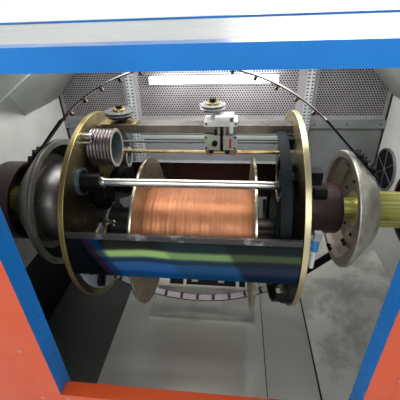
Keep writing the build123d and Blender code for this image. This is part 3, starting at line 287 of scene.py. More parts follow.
def make_finishes(sizes):
    """Every finish of the machine, named for what the real surface is, some also for the painted light and
    shade that they carry.
    """
    # Rings that a lathe tool leaves about the rotor axis
    turned = {"lines": (0.0, 0.0), "line_mm": 5.0, "line": 0.16}

    # Gloss enamel on the frame: a strong blue with a soft orange-peel ripple
    finish("blue gloss enamel", "1472C0", 0.0, 0.3, "1068B2", 420.0, grain_mm=9.0, grain=0.12, specular=0.35)
    # Semi-gloss enamel on the panels: orange-red, a little uneven where it was sprayed
    finish("orange enamel", "C64812", 0.0, 0.4, "C04512", 480.0, grain_mm=8.0, grain=0.12)
    # Pale enamel on the roof's outside
    finish("pale roof enamel", "C4C7C5", 0.0, 0.5, "BBBEBC", 420.0, grain_mm=8.0)
    # Satin grey enamel on the chamber's sheet steel: cool grey with greenish and warmer clouds
    finish("grey satin enamel", "A3A6A2", 0.0, 0.42, "94988F", 260.0, grain_mm=7.0)
    # Paler satin enamel on the end walls, which stand in the light
    finish("pale satin enamel", "D8D9D6", 0.0, 0.4, "CACCC5", 300.0, grain_mm=7.0)
    # Darker enamel on the rear sheets, with a little sheen of the steel
    finish("rear sheet enamel", "83868A", 0.1, 0.36, "767A78", 260.0, grain_mm=6.0)
    # Punched sheet: grey enamel with the soft shine of thin steel
    finish("punched sheet enamel", "A4A1A3", 0.25, 0.38, "938F92", 200.0, grain=0.06)
    # Painted shade: near-black for the unlit space behind the holes, with no shine
    finish("dark behind the holes", "0C0D0E", 0.0, 0.9, spread=0.0)
    # Floor sheets: near-black steel at the left end, then dark grey steel, then plain grey
    finish("floor sheet steel, darker to the left", "060707", 0.3, 0.42, spread=0.1, grain_mm=12.0,
           zones=("X", [(-778.0, "4C4F4C"), (-401.0, "BBBDB5")]))
    # The right slope: pale polished sheet, with clouds of painted light and darker spots of painted shade
    finish("pale sloping sheet", "DEDFD8", 0.05, 0.35, "B2B4AC", 150.0, (0.44, 0.6), grain_mm=12.0)
    # Lift table: rubbed steel plate, pale where it is worn
    finish("rubbed table steel", "B4B5AD", 0.25, 0.36, "9FA098", 120.0, grain_mm=5.0)
    # White stove enamel on the hatch frame: warm white, slightly soiled
    finish("white stove enamel", "DEDCCF", 0.0, 0.4, "CFCBBB", 90.0)
    # Satin enamel on the rear rod, dull like the sheets behind it
    finish("rod satin enamel", "54585B", 0.0, 0.7, specular=0.1)
    # Duct plastic: dull grey. A dark grey paints the shade inside the ducts, and colours the lining screws
    finish("grey duct plastic", "B2B5B7", 0.0, 0.55, "A5A8AA", 60.0, grain=0.05)
    finish("dark grey for duct shade and screws", "3A3D40", 0.0, 0.8, spread=0.0)
    # Black sponge rubber in the chamber's corners: open-pored and dull. The same black is painted shade in the
    # joints of the floor sheets and in the gaps at the inspection frame
    finish("black seal rubber and gap shade", "0A0A0B", 0.0, 0.7, grain_mm=3.0, grain=0.2)
    # Rubber pads and painted steel of the feet: dark and dull
    finish("foot rubber and steel", "242526", 0.1, 0.6, grain_mm=5.0)
    # Cast housings in maroon enamel, rough under the paint
    finish("maroon cast enamel", "2E1112", 0.0, 0.35, "1E0B0C", 120.0, grain_mm=14.0, grain=0.25)
    # Fan ring and spokes: grey zinc. Guard mesh behind them: black, its wires drawn as rings
    finish("fan ring metal", "7E8284", 0.6, 0.4)
    finish("black fan mesh", "0B0D0F", 0.0, 0.7, lines=FAN[1:], line_mm=9.0, line=1.2, tint="15181B",
           specular=0.2)
    # Lit lamp cover, and its white plastic caps
    finish("lit lamp cover", "FFFFFF", 0.0, 0.4, spread=0.0, grain=0.0, glow=2.2)
    finish("white lamp cap", "E4E5E3", 0.0, 0.45)
    # Turned steel dishes: rings from the lathe tool, silver with a warm cast, the left dish painted darker as
    # shade
    finish("turned dish steel", "817F79", 0.85, 0.38, "4A4844", 130.0, grain_mm=3.0, grain=0.05, spread=0.06,
           zones=("X", [(0.0, "ADA69E")]), **turned)
    # Their outsides and the left one's flange take the light
    finish("bright turned steel", "E2E1D6", 0.6, 0.36, "B4B3A8", 110.0, grain_mm=3.0, grain=0.05,
           spread=0.06, **turned)
    finish("turned flange steel", "A19F99", 0.65, 0.4, "8A8882", 60.0, lines=(0.0, 0.0), line_mm=5.0,
           line=0.14)
    # The right one's lower inside shows a rosy light, and the left one's recess holds shade
    finish("rosy turned steel", "EADBD5", 0.35, 0.4, "C9B8B2", 70.0, **turned)
    finish("shaded turned steel", "2F2D2A", 0.7, 0.42, "1C1B19", 110.0, **turned)
    # Polished pressed cap over the left trunnion: fine rings, soft dark clouds
    finish("polished cap steel", "85837F", 0.9, 0.42, "5A5754", 150.0, lines=(0.0, 0.0), line_mm=5.0,
           spread=0.06)
    # Yellow chromate on the shafts: bright olive yellow, with pale streaks along the bar painted as reflected
    # light
    finish("yellow chromated shaft", "C6C356", 0.8, 0.3, lines="bar", line_mm=11.0, tint="F6F2AC", spread=0.04)
    # Yellow chromate on plates: khaki gold, the right plate painted paler as light
    finish("yellow chromated plate", "A3925F", 0.8, 0.38, "4F4630", 150.0, grain_mm=6.0, grain=0.08,
           zones=("X", [(0.0, "C9BE98")]))
    # The plates' inner faces: painted shade, paler at the very bottom, with painted light on their tops
    finish("inner plate with painted shade and light", "A39663", 0.85, 0.3, "15130D", 130.0, soft=60.0,
           zones=("Z", [(-290.0, "3B3522"), (280.0, "B5A87E")]))
    # Spring steel bows: blued and nearly black, their outer faces painted paler as light, but for the left end
    finish("blued spring steel", "17191D", 0.6, 0.4, "101215", 70.0)
    finish("bright strip steel", "8E8C8A", 0.6, 0.45, "747270", 60.0)
    # Wear strip on the bows' inner faces: pale lavender ceramic
    finish("pale wear strip", "DAD6DE", 0.0, 0.25, "C9C3CE", 30.0, grain=0.05)
    # Eyelets: dark glazed ceramic in clips of gold brass
    finish("dark eyelet ceramic", "1C1816", 0.0, 0.22, "3A332F", 12.0, grain=0.05)
    finish("gold clip brass", "B8924A", 0.95, 0.28, "8E6C33", 15.0, grain=0.05)
    # Clamp bars: black oxide, with one pale band on the right painted as a glint
    finish("clamp bar steel", "101114", 0.7, 0.35, grain_mm=5.0,
           zones=("X", [(640.0, "1A1A1C"), (672.0, "C4C2BE"), (684.0, "1A1A1C")]))
    # Ground steel of screws, axles and shoes: even and bright
    finish("ground steel", "C2C1BF", 0.9, 0.28, "A8A6A3", 60.0, grain_mm=3.0, grain=0.05)
    # Black oxide on bolts and posts: a dark film that still shines
    finish("black oxide steel", "131416", 0.5, 0.35, grain_mm=3.0, grain=0.05)
    # Hard chrome on the front rod: mirror-bright and warm
    finish("hard chrome", "D2D0C6", 0.95, 0.2, "BDBBB2", 90.0, grain=0.02, spread=0.04)
    # Drawn brass of rods, hubs and posts: faint rings round the bar
    finish("brass rod", "B8A272", 0.9, 0.28, "9C8550", 60.0, lines="X", line_mm=4.0, line=0.04)
    # Trunnions: dark brown enamel over a casting, and dark turned steel
    finish("brown cast enamel", "3B2928", 0.15, 0.4, "2E2021", 80.0, grain_mm=10.0, grain=0.15)
    finish("dark trunnion steel", "2A2523", 0.6, 0.3, "3A322E", 60.0, lines="X", line_mm=4.0, line=0.06)
    # Tie bar: blackish bar stock with a planed top
    finish("planed bar steel", "7C766D", 0.75, 0.34, "655F57", 110.0, grain_mm=5.0, grain=0.06)
    # Front cover: high-gloss black enamel with painted reflections: navy in the light, a green band across,
    # and darker tints, one maroon, towards the ends
    finish("black gloss with painted reflections", "0A3C68", 0.0, 0.14, spread=0.03, grain=0.02, soft=5.0, wave=7.0,
           zones=("Z", [(-34.0, "0B4A80"), (10.0, "081C30"), (20.0, "0A3450"), (32.0, "8DAF68"),
                        (56.0, "24382A"), (62.0, "07090B")]),
           ends=[(-232.0, -1, "0B2545", 0.9), (-262.0, -1, "26101C", 0.9), (-288.0, -1, "04070D", 1.0),
                 (-20.0, 1, "0C2E30", 0.45), (188.0, 1, "05090D", 0.75)], specular=0.16)
    # The rear cover's inside, dark and glossy, and the covers' turned-in lips: grey at the back, dark at the
    # front with painted glints
    finish("dark cover inside", "1A100D", 0.3, 0.16, spread=0.03, grain=0.02, specular=0.9)
    finish("grey cover lip", "A2A4AD", 0.2, 0.4, "8B8D96", 90.0)
    finish("dark cover lip", "363331", 0.4, 0.38, "7E7D7B", 60.0, (0.52, 0.62))
    # Guard strips: dark blue-green enamel with a soft sheen
    finish("dark guard enamel", "161C1F", 0.0, 0.5, "101517", 80.0, grain_mm=5.0, specular=0.07)
    # Belt rubber: black with a fine rough skin
    finish("belt rubber", "0E1011", 0.0, 0.6, "0A0B0C", 40.0, grain_mm=3.0, grain=0.2, specular=0.08)
    # Segment plate round the left pintle: pale blue-grey painted steel, the housing nearly black
    finish("pale segment enamel", "A7B0B5", 0.2, 0.36, "30302E", 90.0, zones=("X", [(-379.6, "121110")]))
    # Moulded plastic of sensors, knobs and blocks: black, hardly any shine
    finish("black moulding", "060708", 0.0, 0.5, grain_mm=3.0, grain=0.15, specular=0.12)
    # Air cylinder: white end, blue end cap, grey tube
    finish("air cylinder ends", "E6E8E8", 0.1, 0.35, zones=("Z", [(44.0, "3F86C4"), (86.0, "9A9EA0")]))
    # Flange of the front rod: blue-grey steel in shade
    finish("blue-grey flange steel", "4A5860", 0.3, 0.4, "39454C", 40.0)
    # Bobbin: worn khaki-brown enamel rubbed in rings, and bright rolled rims
    finish("worn bobbin enamel", "9C8F76", 0.8, 0.38, "756953", 70.0, lines=(0.0, BOBBIN_Z), line_mm=9.0,
           line=0.06, tint="AA9D84", grain_mm=6.0)
    finish("bright rim steel", "CFC9B2", 0.9, 0.25, "A9A38E", 40.0)
    # Copper wire: turns drawn 2.4 mm apart, coarser than the real 1 mm wire, so that they show
    finish("wound copper wire", "AE6E4B", 0.75, 0.42, "98603F", 110.0, lines="X",
           line_mm=sizes.turn_pitch / MM, line=0.5, tint="BC8461", grain_mm=8.0, grain=0.06)
    # The strand on the capstans: darker, drawn smooth
    finish("copper strand", "94603F", 0.8, 0.4, "7A4A30", 20.0)
    # Belt wheels: machined grey iron
    finish("belt wheel iron", "232426", 0.6, 0.38, "1A1B1C", 60.0, grain_mm=5.0)
    # Capstans: ground steel, with darker bluish rings of painted shade and reflection for the grooves, and
    # grey-green enamel in their hollows
    finish("ground capstan steel", "6C6F75", 0.9, 0.3, "54575D", 50.0, lines="X", line_mm=2.0, line=0.06,
           tint="585B62")
    finish("capstan hollow enamel", "5E6A68", 0.2, 0.4, "4B5553", 40.0)
    # Carriage: brownish feet, pale grey block, white upper block and dark top; white brackets
    finish("carriage enamel", "8C7A72", 0.2, 0.4,
           zones=("Z", [(258.0, "A5A79C"), (350.0, "D8D9D7"), (396.5, "6E7073")]))
    finish("white carriage enamel", "DCDDDB", 0.0, 0.35)
    # Guide pulleys: grey ceramic-coated wheels, the right one paler
    finish("guide wheel ceramic", "6F716E", 0.5, 0.28, "5C5E5B", 30.0, zones=("X", [(-100.0, "9C9D9E")]))
    # Small plastic tags on the carriage, in plain colours
    finish("red tag plastic", "B3122A", 0.0, 0.4, spread=0.0)
    finish("green tag plastic", "9BAA8C", 0.0, 0.5, spread=0.0)
    finish("blue tag plastic", "3C86C6", 0.0, 0.4, spread=0.0)


def coat(finishes):
    """Gives CAD nodes their finishes."""
    for node, name in finishes.items():
        materials = frame["nodes"][node].data.materials
        materials.clear()
        materials.append(bpy.data.materials[name])


# Mesh building
def box(bm, x0, x1, y0, y1, z0, z1, edge=0.0):
    """Adds a box between two corners, with rounded edges."""
    verts = bmesh.ops.create_cube(bm, size=1.0)["verts"]
    size = Matrix.Diagonal(((x1 - x0) * MM, (y1 - y0) * MM, (z1 - z0) * MM, 1.0))
    place = Matrix.Translation(at((x0 + x1) / 2, (y0 + y1) / 2, (z0 + z1) / 2))
    bmesh.ops.transform(bm, matrix=place @ size, verts=verts)
    if edge:
        edges = list({e for v in verts for e in v.link_edges})
        bmesh.ops.bevel(bm, geom=edges, offset=edge * MM, segments=2, profile=0.5, affect="EDGES")


def lathe(bm, points, place, direction=RIGHT, steps=32):
    """Turns a profile of (along, radius) points, in mm, about an axis through a place."""
    turn = Vector(UP).rotation_difference(Vector(direction)).to_matrix()
    rings = []
    for i in range(steps):
        a = 2 * math.pi * i / steps
        rings.append([bm.verts.new(place + turn @ Vector((r * math.cos(a), r * math.sin(a), h)) * MM)
                      for h, r in points])
    for one, two in zip(rings, rings[1:] + rings[:1]):
        for k in range(len(points) - 1):
            bm.faces.new((one[k], two[k], two[k + 1], one[k + 1]))


def band(low, high, inner, outer):
    """Profile of a square-edged ring."""
    return [(low, inner), (low, outer), (high, outer), (high, inner), (low, inner)]


def pin(bm, place, direction, radius, length, steps=24, edge=1.0):
    """Adds a round bar with a rounded end, standing on a place."""
    lathe(bm, [(0, 0), (0, radius), (length - edge, radius), (length - 0.3 * edge, radius - 0.3 * edge),
               (length, radius - edge), (length, 0)], place, direction, steps)


def to_mesh(bm, name, angle=SHARP):
    """Closes, turns outwards and shades a mesh."""
    bmesh.ops.remove_doubles(bm, verts=bm.verts, dist=WELD)
    bmesh.ops.dissolve_degenerate(bm, edges=bm.edges, dist=1e-6)
    bmesh.ops.recalc_face_normals(bm, faces=bm.faces)
    mesh = bpy.data.meshes.new(name)
    bm.to_mesh(mesh)
    bm.free()
    mesh.shade_smooth()
    mesh.set_sharp_from_angle(angle=math.radians(angle))
    return mesh


def place_piece(name, mesh, material, body, *nodes):
    """Puts a mesh in the scene as a piece that rides on a body and stands for CAD nodes, if any."""
    obj = bpy.data.objects.new(name, mesh)
    bpy.context.scene.collection.objects.link(obj)
    mesh.materials.clear()
    mesh.materials.append(bpy.data.materials[material])
    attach(obj, body)
    if nodes:
        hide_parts(*nodes)
    return obj


def build(name, material, body, *nodes, boxes=(), turned=(), pins=(), angle=SHARP):
    """A piece of boxes, turned shapes and pins, each with what its own function takes."""
    bm = bmesh.new()
    for add_shape, shapes in ((box, boxes), (lathe, turned), (pin, pins)):
        for shape in shapes:
            add_shape(bm, *shape)
    return place_piece(name, to_mesh(bm, name, angle), material, body, *nodes)


def body_of(node):
    return next(name for name, members in frame["record"]["behaviour"]["bodies"].items() if node in members)


def smoothed(node, material, edge=1.0):
    """A copy of a CAD node with its triangles joined, its curves shaded smooth and its edges broken."""
    bm = bmesh.new()
    bm.from_mesh(frame["nodes"][node].data)
    bmesh.ops.remove_doubles(bm, verts=bm.verts, dist=WELD)
    bmesh.ops.dissolve_limit(bm, angle_limit=math.radians(0.4), verts=bm.verts, edges=bm.edges)
    obj = place_piece(node + "_finished", to_mesh(bm, node, 30.0), material, body_of(node), node)
    if edge:
        bevel = obj.modifiers.new("edges", "BEVEL")
        bevel.width = edge * MM
        bevel.segments = 2
        bevel.limit_method = "ANGLE"
        bevel.angle_limit = math.radians(SHARP)
        bevel.harden_normals = True
    return obj


def second_finish(obj, name, test):
    """Gives another finish to the faces whose middle, in mm from the rotor axis, and normal pass a test."""
    obj.data.materials.append(bpy.data.materials[name])
    for face in obj.data.polygons:
        if test((face.center - AXIS) / MM, face.normal):
            face.material_index = len(obj.data.materials) - 1


# Copies set by Geometry Nodes
def copies_tree():
    """Sets a piece on each point of a mesh, facing the way the point says."""
    tree = bpy.data.node_groups.get("Set on points")
    if tree:
        return tree
    tree = bpy.data.node_groups.new("Set on points", "GeometryNodeTree")
    for name, kind in (("Geometry", "Geometry"), ("Piece", "Object"), ("Size", "Float"),
                       ("Merge Distance", "Float"), ("Finish", "Material")):
        tree.interface.new_socket(name, in_out="INPUT", socket_type="NodeSocket" + kind)
    tree.interface.new_socket("Geometry", in_out="OUTPUT", socket_type="NodeSocketGeometry")
    start = add(tree, "NodeGroupInput")
    facing = add(tree, "GeometryNodeInputNamedAttribute", {"Name": "facing"}, data_type="FLOAT_VECTOR")
    turn = add(tree, "FunctionNodeAlignRotationToVector", {"Vector": facing.outputs["Attribute"]}, axis="Z")
    shape = add(tree, "GeometryNodeObjectInfo", {"Object": start.outputs["Piece"]})
    copies = add(tree, "GeometryNodeInstanceOnPoints", {
        "Points": start.outputs["Geometry"], "Instance": shape.outputs["Geometry"],
        "Rotation": turn.outputs[0], "Scale": start.outputs["Size"]})
    real = add(tree, "GeometryNodeRealizeInstances", {"Geometry": copies.outputs[0]})
    joined = add(tree, "GeometryNodeMergeByDistance", {
        "Geometry": real.outputs[0], "Distance": start.outputs["Merge Distance"]})
    coated = add(tree, "GeometryNodeSetMaterial", {
        "Geometry": joined.outputs[0], "Material": start.outputs["Finish"]})
    add(tree, "NodeGroupOutput", {"Geometry": coated.outputs[0]})
    return tree


def set_copies(name, spots, shape, material, body, *nodes, merge=0.0, boxes=()):
    """Copies of a shape at (place, facing) spots, with boxes beside them, turned into one plain mesh that
    rides on a body."""
    carrier = bpy.data.meshes.new(name)
    carrier.from_pydata([place for place, facing in spots], [], [])
    facings = carrier.attributes.new("facing", "FLOAT_VECTOR", "POINT")
    facings.data.foreach_set("vector", [c for place, facing in spots for c in facing])
    obj = bpy.data.objects.new(name + "_spots", carrier)
    master = bpy.data.objects.new(name + "_master", shape)
    for made in (obj, master):
        bpy.context.scene.collection.objects.link(made)
    tree = copies_tree()
    sockets = {item.name: item.identifier for item in tree.interface.items_tree if item.in_out == "INPUT"}
    modifier = obj.modifiers.new("copies", "NODES")
    modifier.node_group = tree
    inputs = {"Piece": master, "Size": 1.0, "Merge Distance": merge, "Finish": bpy.data.materials[material]}
    for socket, value in inputs.items():
        modifier[sockets[socket]] = value
    bpy.context.view_layer.update()
    graph = bpy.context.evaluated_depsgraph_get()
    mesh = bpy.data.meshes.new_from_object(obj.evaluated_get(graph))
    obj.modifiers.remove(modifier)
    bpy.data.objects.remove(obj)
    bpy.data.objects.remove(master)
    if len(mesh.polygons) < len(spots):
        raise RuntimeError(name + ": the copies came out empty")
    if boxes:
        bm = bmesh.new()
        bm.from_mesh(mesh)
        for corners in boxes:
            box(bm, *corners)
        bm.to_mesh(mesh)
        bm.free()
    mesh.shade_smooth()
    mesh.set_sharp_from_angle(angle=math.radians(SHARP))
    return place_piece(name, mesh, material, body, *nodes)


def turned_shape(points, direction=UP, steps=20):
    """A turned shape about its spot, to be copied."""
    bm = bmesh.new()
    lathe(bm, points, ORIGIN, direction, steps)
    return to_mesh(bm, "turned shape")


def block(width, depth, height):
    """A small block about its spot, to be copied."""
    bm = bmesh.new()
    size = Matrix.Diagonal((width * MM, depth * MM, height * MM, 1.0))
    bmesh.ops.create_cube(bm, size=1.0, matrix=size)
    return to_mesh(bm, "block")


def screw_head(radius, height):
    """Socket screw head that stands on its spot, with its recess."""
    return turned_shape([(0, 0), (0, radius), (height - 0.15 * radius, radius), (height, 0.85 * radius),
                         (height, 0.55 * radius), (0.45 * height, 0.5 * radius), (0.45 * height, 0)], steps=12)


def hex_head(radius, height):
    """Hexagon bolt head on a washer."""
    bm = bmesh.new()
    lathe(bm, [(0, 0), (0, 1.25 * radius), (0.18 * height, 1.25 * radius), (0.18 * height, 0)], ORIGIN, UP, 20)
    lathe(bm, [(0.1 * height, 0), (0.1 * height, radius), (0.9 * height, radius), (height, 0.86 * radius),
               (height, 0)], ORIGIN, UP, 6)
    return to_mesh(bm, "hex head")


def row(start, end, count, facing):
    """Spots at equal steps between two places, both included."""
    return [(start.lerp(end, i / max(count - 1, 1)), facing) for i in range(count)]


def ring(x, y, z, radius, count, facing, first=22.5):
    """Spots on a circle about an axis along X."""
    angles = [math.radians(first + 360.0 * i / count) for i in range(count)]
    return [(at(x, y + radius * math.cos(a), z + radius * math.sin(a)), facing) for a in angles]


# Settings
class BuncherSettings(bpy.types.PropertyGroup):
    hole_pitch: FloatProperty(name="Hole pitch", description="Distance between holes of the punched sheets",
                              default=0.0142, min=0.008, subtype="DISTANCE", unit="LENGTH")
    hole_size: FloatProperty(name="Hole size", description="Width of a hole of the punched sheets",
                             default=0.0112, min=0.002, subtype="DISTANCE", unit="LENGTH")
    slot_pitch: FloatProperty(name="Slot pitch", description="Distance between the slots of the cable ducts",
                              default=0.018, min=0.008, subtype="DISTANCE", unit="LENGTH")
    turn_pitch: FloatProperty(name="Turn pitch", description="Distance between drawn turns of copper wire",
                              default=0.0024, min=0.0005, subtype="DISTANCE", unit="LENGTH")
    panel_screws: IntProperty(name="Panel screws", description="Screws along the height of an outer panel",
                              default=6, min=2)
    lamp_power: FloatProperty(name="Chamber light", description="Power of the light under the roof",
                              default=14.0, min=0.0, subtype="POWER", unit="POWER")
    front_power: FloatProperty(name="Front light", description="Power of the studio light at the front",
                               default=85.0, min=0.0, subtype="POWER", unit="POWER")
    floor_colour: FloatVectorProperty(name="Floor", description="Colour of the studio floor", size=4,
                                      default=linear("ECECEA"), subtype="COLOR")


class BUNCHER_OT_camera(bpy.types.Operator):
    """Sets the camera at the photograph's place"""
    bl_idname = "buncher.camera"
    bl_label = "Camera"

    def execute(self, context):
        data = bpy.data.cameras.new("camera")
        data.sensor_width = 36.0
        data.sensor_fit = "HORIZONTAL"
        data.lens = CAMERA_LENS
        data.shift_y = CAMERA_SHIFT
        data.clip_start = 0.01
        camera = bpy.data.objects.new("camera", data)
        context.scene.collection.objects.link(camera)
        a, e, r = CAMERA_TURN, CAMERA_TILT, CAMERA_ROLL
        forward = Vector((math.sin(a) * math.cos(e), math.cos(a) * math.cos(e), math.sin(e)))
        right = Vector((math.cos(a), -math.sin(a), 0.0))
        down = forward.cross(right)
        across = math.cos(r) * right + math.sin(r) * down
        lower = -math.sin(r) * right + math.cos(r) * down
        turn = Matrix((across, -lower, -forward)).transposed()
        camera.matrix_world = Matrix.Translation(CAMERA_PLACE) @ turn.to_4x4()
        context.scene.camera = camera
        return {"FINISHED"}


class BUNCHER_OT_finishes(bpy.types.Operator):
    """Makes the finishes that the other steps use"""
    bl_idname = "buncher.finishes"
    bl_label = "Finishes"

    def execute(self, context):
        make_finishes(context.scene.buncher)
        return {"FINISHED"}


class BUNCHER_OT_cabinet(bpy.types.Operator):
    """Finishes the frame, panels and feet, and sets the panel screws"""
    bl_idname = "buncher.cabinet"
    bl_label = "Cabinet"

    def execute(self, context):
        coat({"top_rails": "blue gloss enamel", "end_panels": "orange enamel",
              "roof_panel": "pale roof enamel"})
        # Painted shade: the bearers' tops are black, so that the joints of the floor sheets show dark
        second_finish(smoothed("base_frame", "blue gloss enamel", 0.0), "black seal rubber and gap shade",
                      lambda c, n: n.z > 0.9 and c.z > BEARER_Z and abs(c.y) < BEARER_Y)
        # The orange panels lap over the front of the posts. Below the chamber's lining, the insides of
        # the panels and of the rear posts are grey like it.
        posts = smoothed("frame_posts", "blue gloss enamel", 0.0)
        second_finish(posts, "orange enamel", lambda c, n: n.y < -0.9 and c.y < POST_FRONT)
        second_finish(posts, "rear sheet enamel", lambda c, n: (
            c.y > 0 and n.y < 0.5 and abs(c.x - MIDDLE_X) < MIDDLE_REACH))
        for node, inside, side in (("front_panels", "grey satin enamel", 1),
                                   ("front_sill_panel", "grey satin enamel", 1),
                                   ("rear_outer_panels", "rear sheet enamel", -1)):
            second_finish(smoothed(node, "orange enamel", 0.0), inside, lambda c, n: n.y * side > 0.5)
        smoothed("machine_feet", "foot rubber and steel", 1.5)

        columns = [(x, FRONT_FACE, FRONT) for x0, x1 in FRONT_BAYS
                   for x in (x0 + SCREW_INSET, (x0 + x1) / 2, x1 - SCREW_INSET)]
        columns += [(x, REAR_FACE, BACK) for x0, x1 in REAR_BAYS
                    for x in (x0 + SCREW_INSET, x1 - SCREW_INSET)]
        columns += [(x, y, facing) for x, facing in ((LEFT_FACE, LEFT), (RIGHT_FACE, RIGHT))
                    for y in (-575, 0, 605)]
        spots = row(*[at(x, SILL_FACE, z) for x, z in SILL_SCREWS], 5, FRONT)
        count = context.scene.buncher.panel_screws
        for x, y, facing in columns:
            spots += row(at(x, y, SCREW_LOW), at(x, y, SCREW_HIGH), count, facing)
        sunk = [(place - Vector(facing) * SCREW_SINK * MM, facing) for place, facing in spots]
        set_copies("panel_screws", sunk, screw_head(7.0, 3.5), "ground steel", "machine")
        return {"FINISHED"}


class BUNCHER_OT_punched_sheets(bpy.types.Operator):
    """Punches the holes of the rear sheets, with the dark space behind them"""
    bl_idname = "buncher.punched_sheets"
    bl_label = "Punched sheets"

    def execute(self, context):
        sizes = context.scene.buncher
        pitch, hole = sizes.hole_pitch / MM, sizes.hole_size / MM
        rise = pitch * math.sqrt(3) / 2
        spots = []
        for x0, x1 in PUNCHED:
            columns = int((x1 - x0 - 2 * HOLE_MARGIN) / pitch) - 1
            rows = int((SHEET_TOP - SHEET_FOOT - 2 * HOLE_MARGIN) / rise)
            left = (x0 + x1 - (columns - 0.5) * pitch) / 2
            foot = (SHEET_FOOT + SHEET_TOP - (rows - 1) * rise) / 2
            spots += [(at(left + (i + 0.5 * (j % 2)) * pitch, LINING_FRONT + 0.4, foot + j * rise), FRONT)
                      for j in range(rows) for i in range(columns)]

        # One cell: a hexagon of sheet round a hole, and the hole's wall
        bm = bmesh.new()
        angles = [math.radians(30 + 60 * k) for k in range(7)]
        outer, inner = ([Vector((math.cos(a), math.sin(a), 0)) * reach * MM for a in angles]
                        for reach in (pitch / math.sqrt(3), hole / 2))
        deep = Vector((0, 0, -1.6 * MM))
        for o1, o2, h1, h2 in zip(outer, outer[1:], inner, inner[1:]):
            for loop in ((o1, o2, h2, h1), (h1, h2, h2 + deep, h1 + deep)):
                bm.faces.new([bm.verts.new(v) for v in loop])
        bmesh.ops.remove_doubles(bm, verts=bm.verts, dist=1e-7)
        cell = bpy.data.meshes.new("cell")
        bm.to_mesh(cell)
        bm.free()

        # Plain borders, with their inner edges under the cells
        y0, y1 = LINING_FRONT, LINING_FRONT + 1.4
        wide = HOLE_MARGIN + pitch * 1.1
        borders = []
        for (x0, x1), (left, right) in zip(LINING_BAYS, PUNCHED):
            borders += [(x0, left + wide, y0, y1, SHEET_FOOT, SHEET_TOP),
                        (right - wide, x1, y0, y1, SHEET_FOOT, SHEET_TOP),
                        (left + wide, right - wide, y0, y1, SHEET_FOOT, SHEET_FOOT + wide),
                        (left + wide, right - wide, y0, y1, SHEET_TOP - wide, SHEET_TOP)]
        set_copies("punched_sheets", spots, cell, "punched sheet enamel", "machine", "rear_perforated_panels",
                   merge=1e-5, boxes=borders)
        # Painted shade: a near-black sheet behind the holes of each bay
        build("space_behind_holes", "dark behind the holes", "machine",
              boxes=[(x0, x1, LINING_FRONT + 3.0, LINING_FRONT + 5.8, SHEET_FOOT, SHEET_TOP)
                     for x0, x1 in LINING_BAYS])
        return {"FINISHED"}


class BUNCHER_OT_ducts(bpy.types.Operator):
    """Builds the slotted cable ducts and the rubber seals of the chamber's corners"""
    bl_idname = "buncher.ducts"
    bl_label = "Ducts and seals"

    def execute(self, context):
        pitch = context.scene.buncher.slot_pitch / MM
        count = int((SHEET_TOP - DUCT_FOOT - 10) / pitch)
        y, foot = DUCT_FRONT + 3.0, DUCT_FOOT + 8
        spots, rails = [], []
        for x in DUCTS:
            for place in (x - FINGER_X, x + FINGER_X):
                spots += row(at(place, y, foot), at(place, y, foot + (count - 1) * pitch), count, FRONT)
            rails.append((x - 5.0, x + 5.0, DUCT_FRONT, DUCT_FRONT + 5.0, DUCT_FOOT, SHEET_TOP, 0.8))
            rails += [(edge, edge + DUCT_WALL, DUCT_FRONT + 1.0, DUCT_BACK, DUCT_FOOT, SHEET_TOP)
                      for edge in (x - DUCT_HALF, x + DUCT_HALF - DUCT_WALL)]
        set_copies("duct_fingers", spots, block(14.0, 0.6 * pitch, 3.0), "grey duct plastic", "machine",
                   "cable_ducts", boxes=rails)
        # Painted shade: a dark block inside each duct, behind its fingers
        wide = DUCT_HALF - DUCT_WALL - 0.1
        build("duct_insides", "dark grey for duct shade and screws", "machine",
              boxes=[(x - wide, x + wide, DUCT_FRONT + 9.0, DUCT_BACK - 0.5, DUCT_FOOT, SHEET_TOP)
                     for x in DUCTS])
        seals = [(579.5, 584.5, LINING_FRONT - 6.0, LINING_FRONT - 0.4, SHEET_FOOT, SEAL_TOP, 1.5)]
        seals += [(x, x + 7.4, LINING_FRONT - 10.0, LINING_FRONT - 0.4, DUCT_FOOT, SEAL_TOP, 2.5)
                  for x in (LEFT_WALL + 0.6, RIGHT_WALL - 8.0)]
        build("corner_seals", "black seal rubber and gap shade", "machine", boxes=seals)
        return {"FINISHED"}


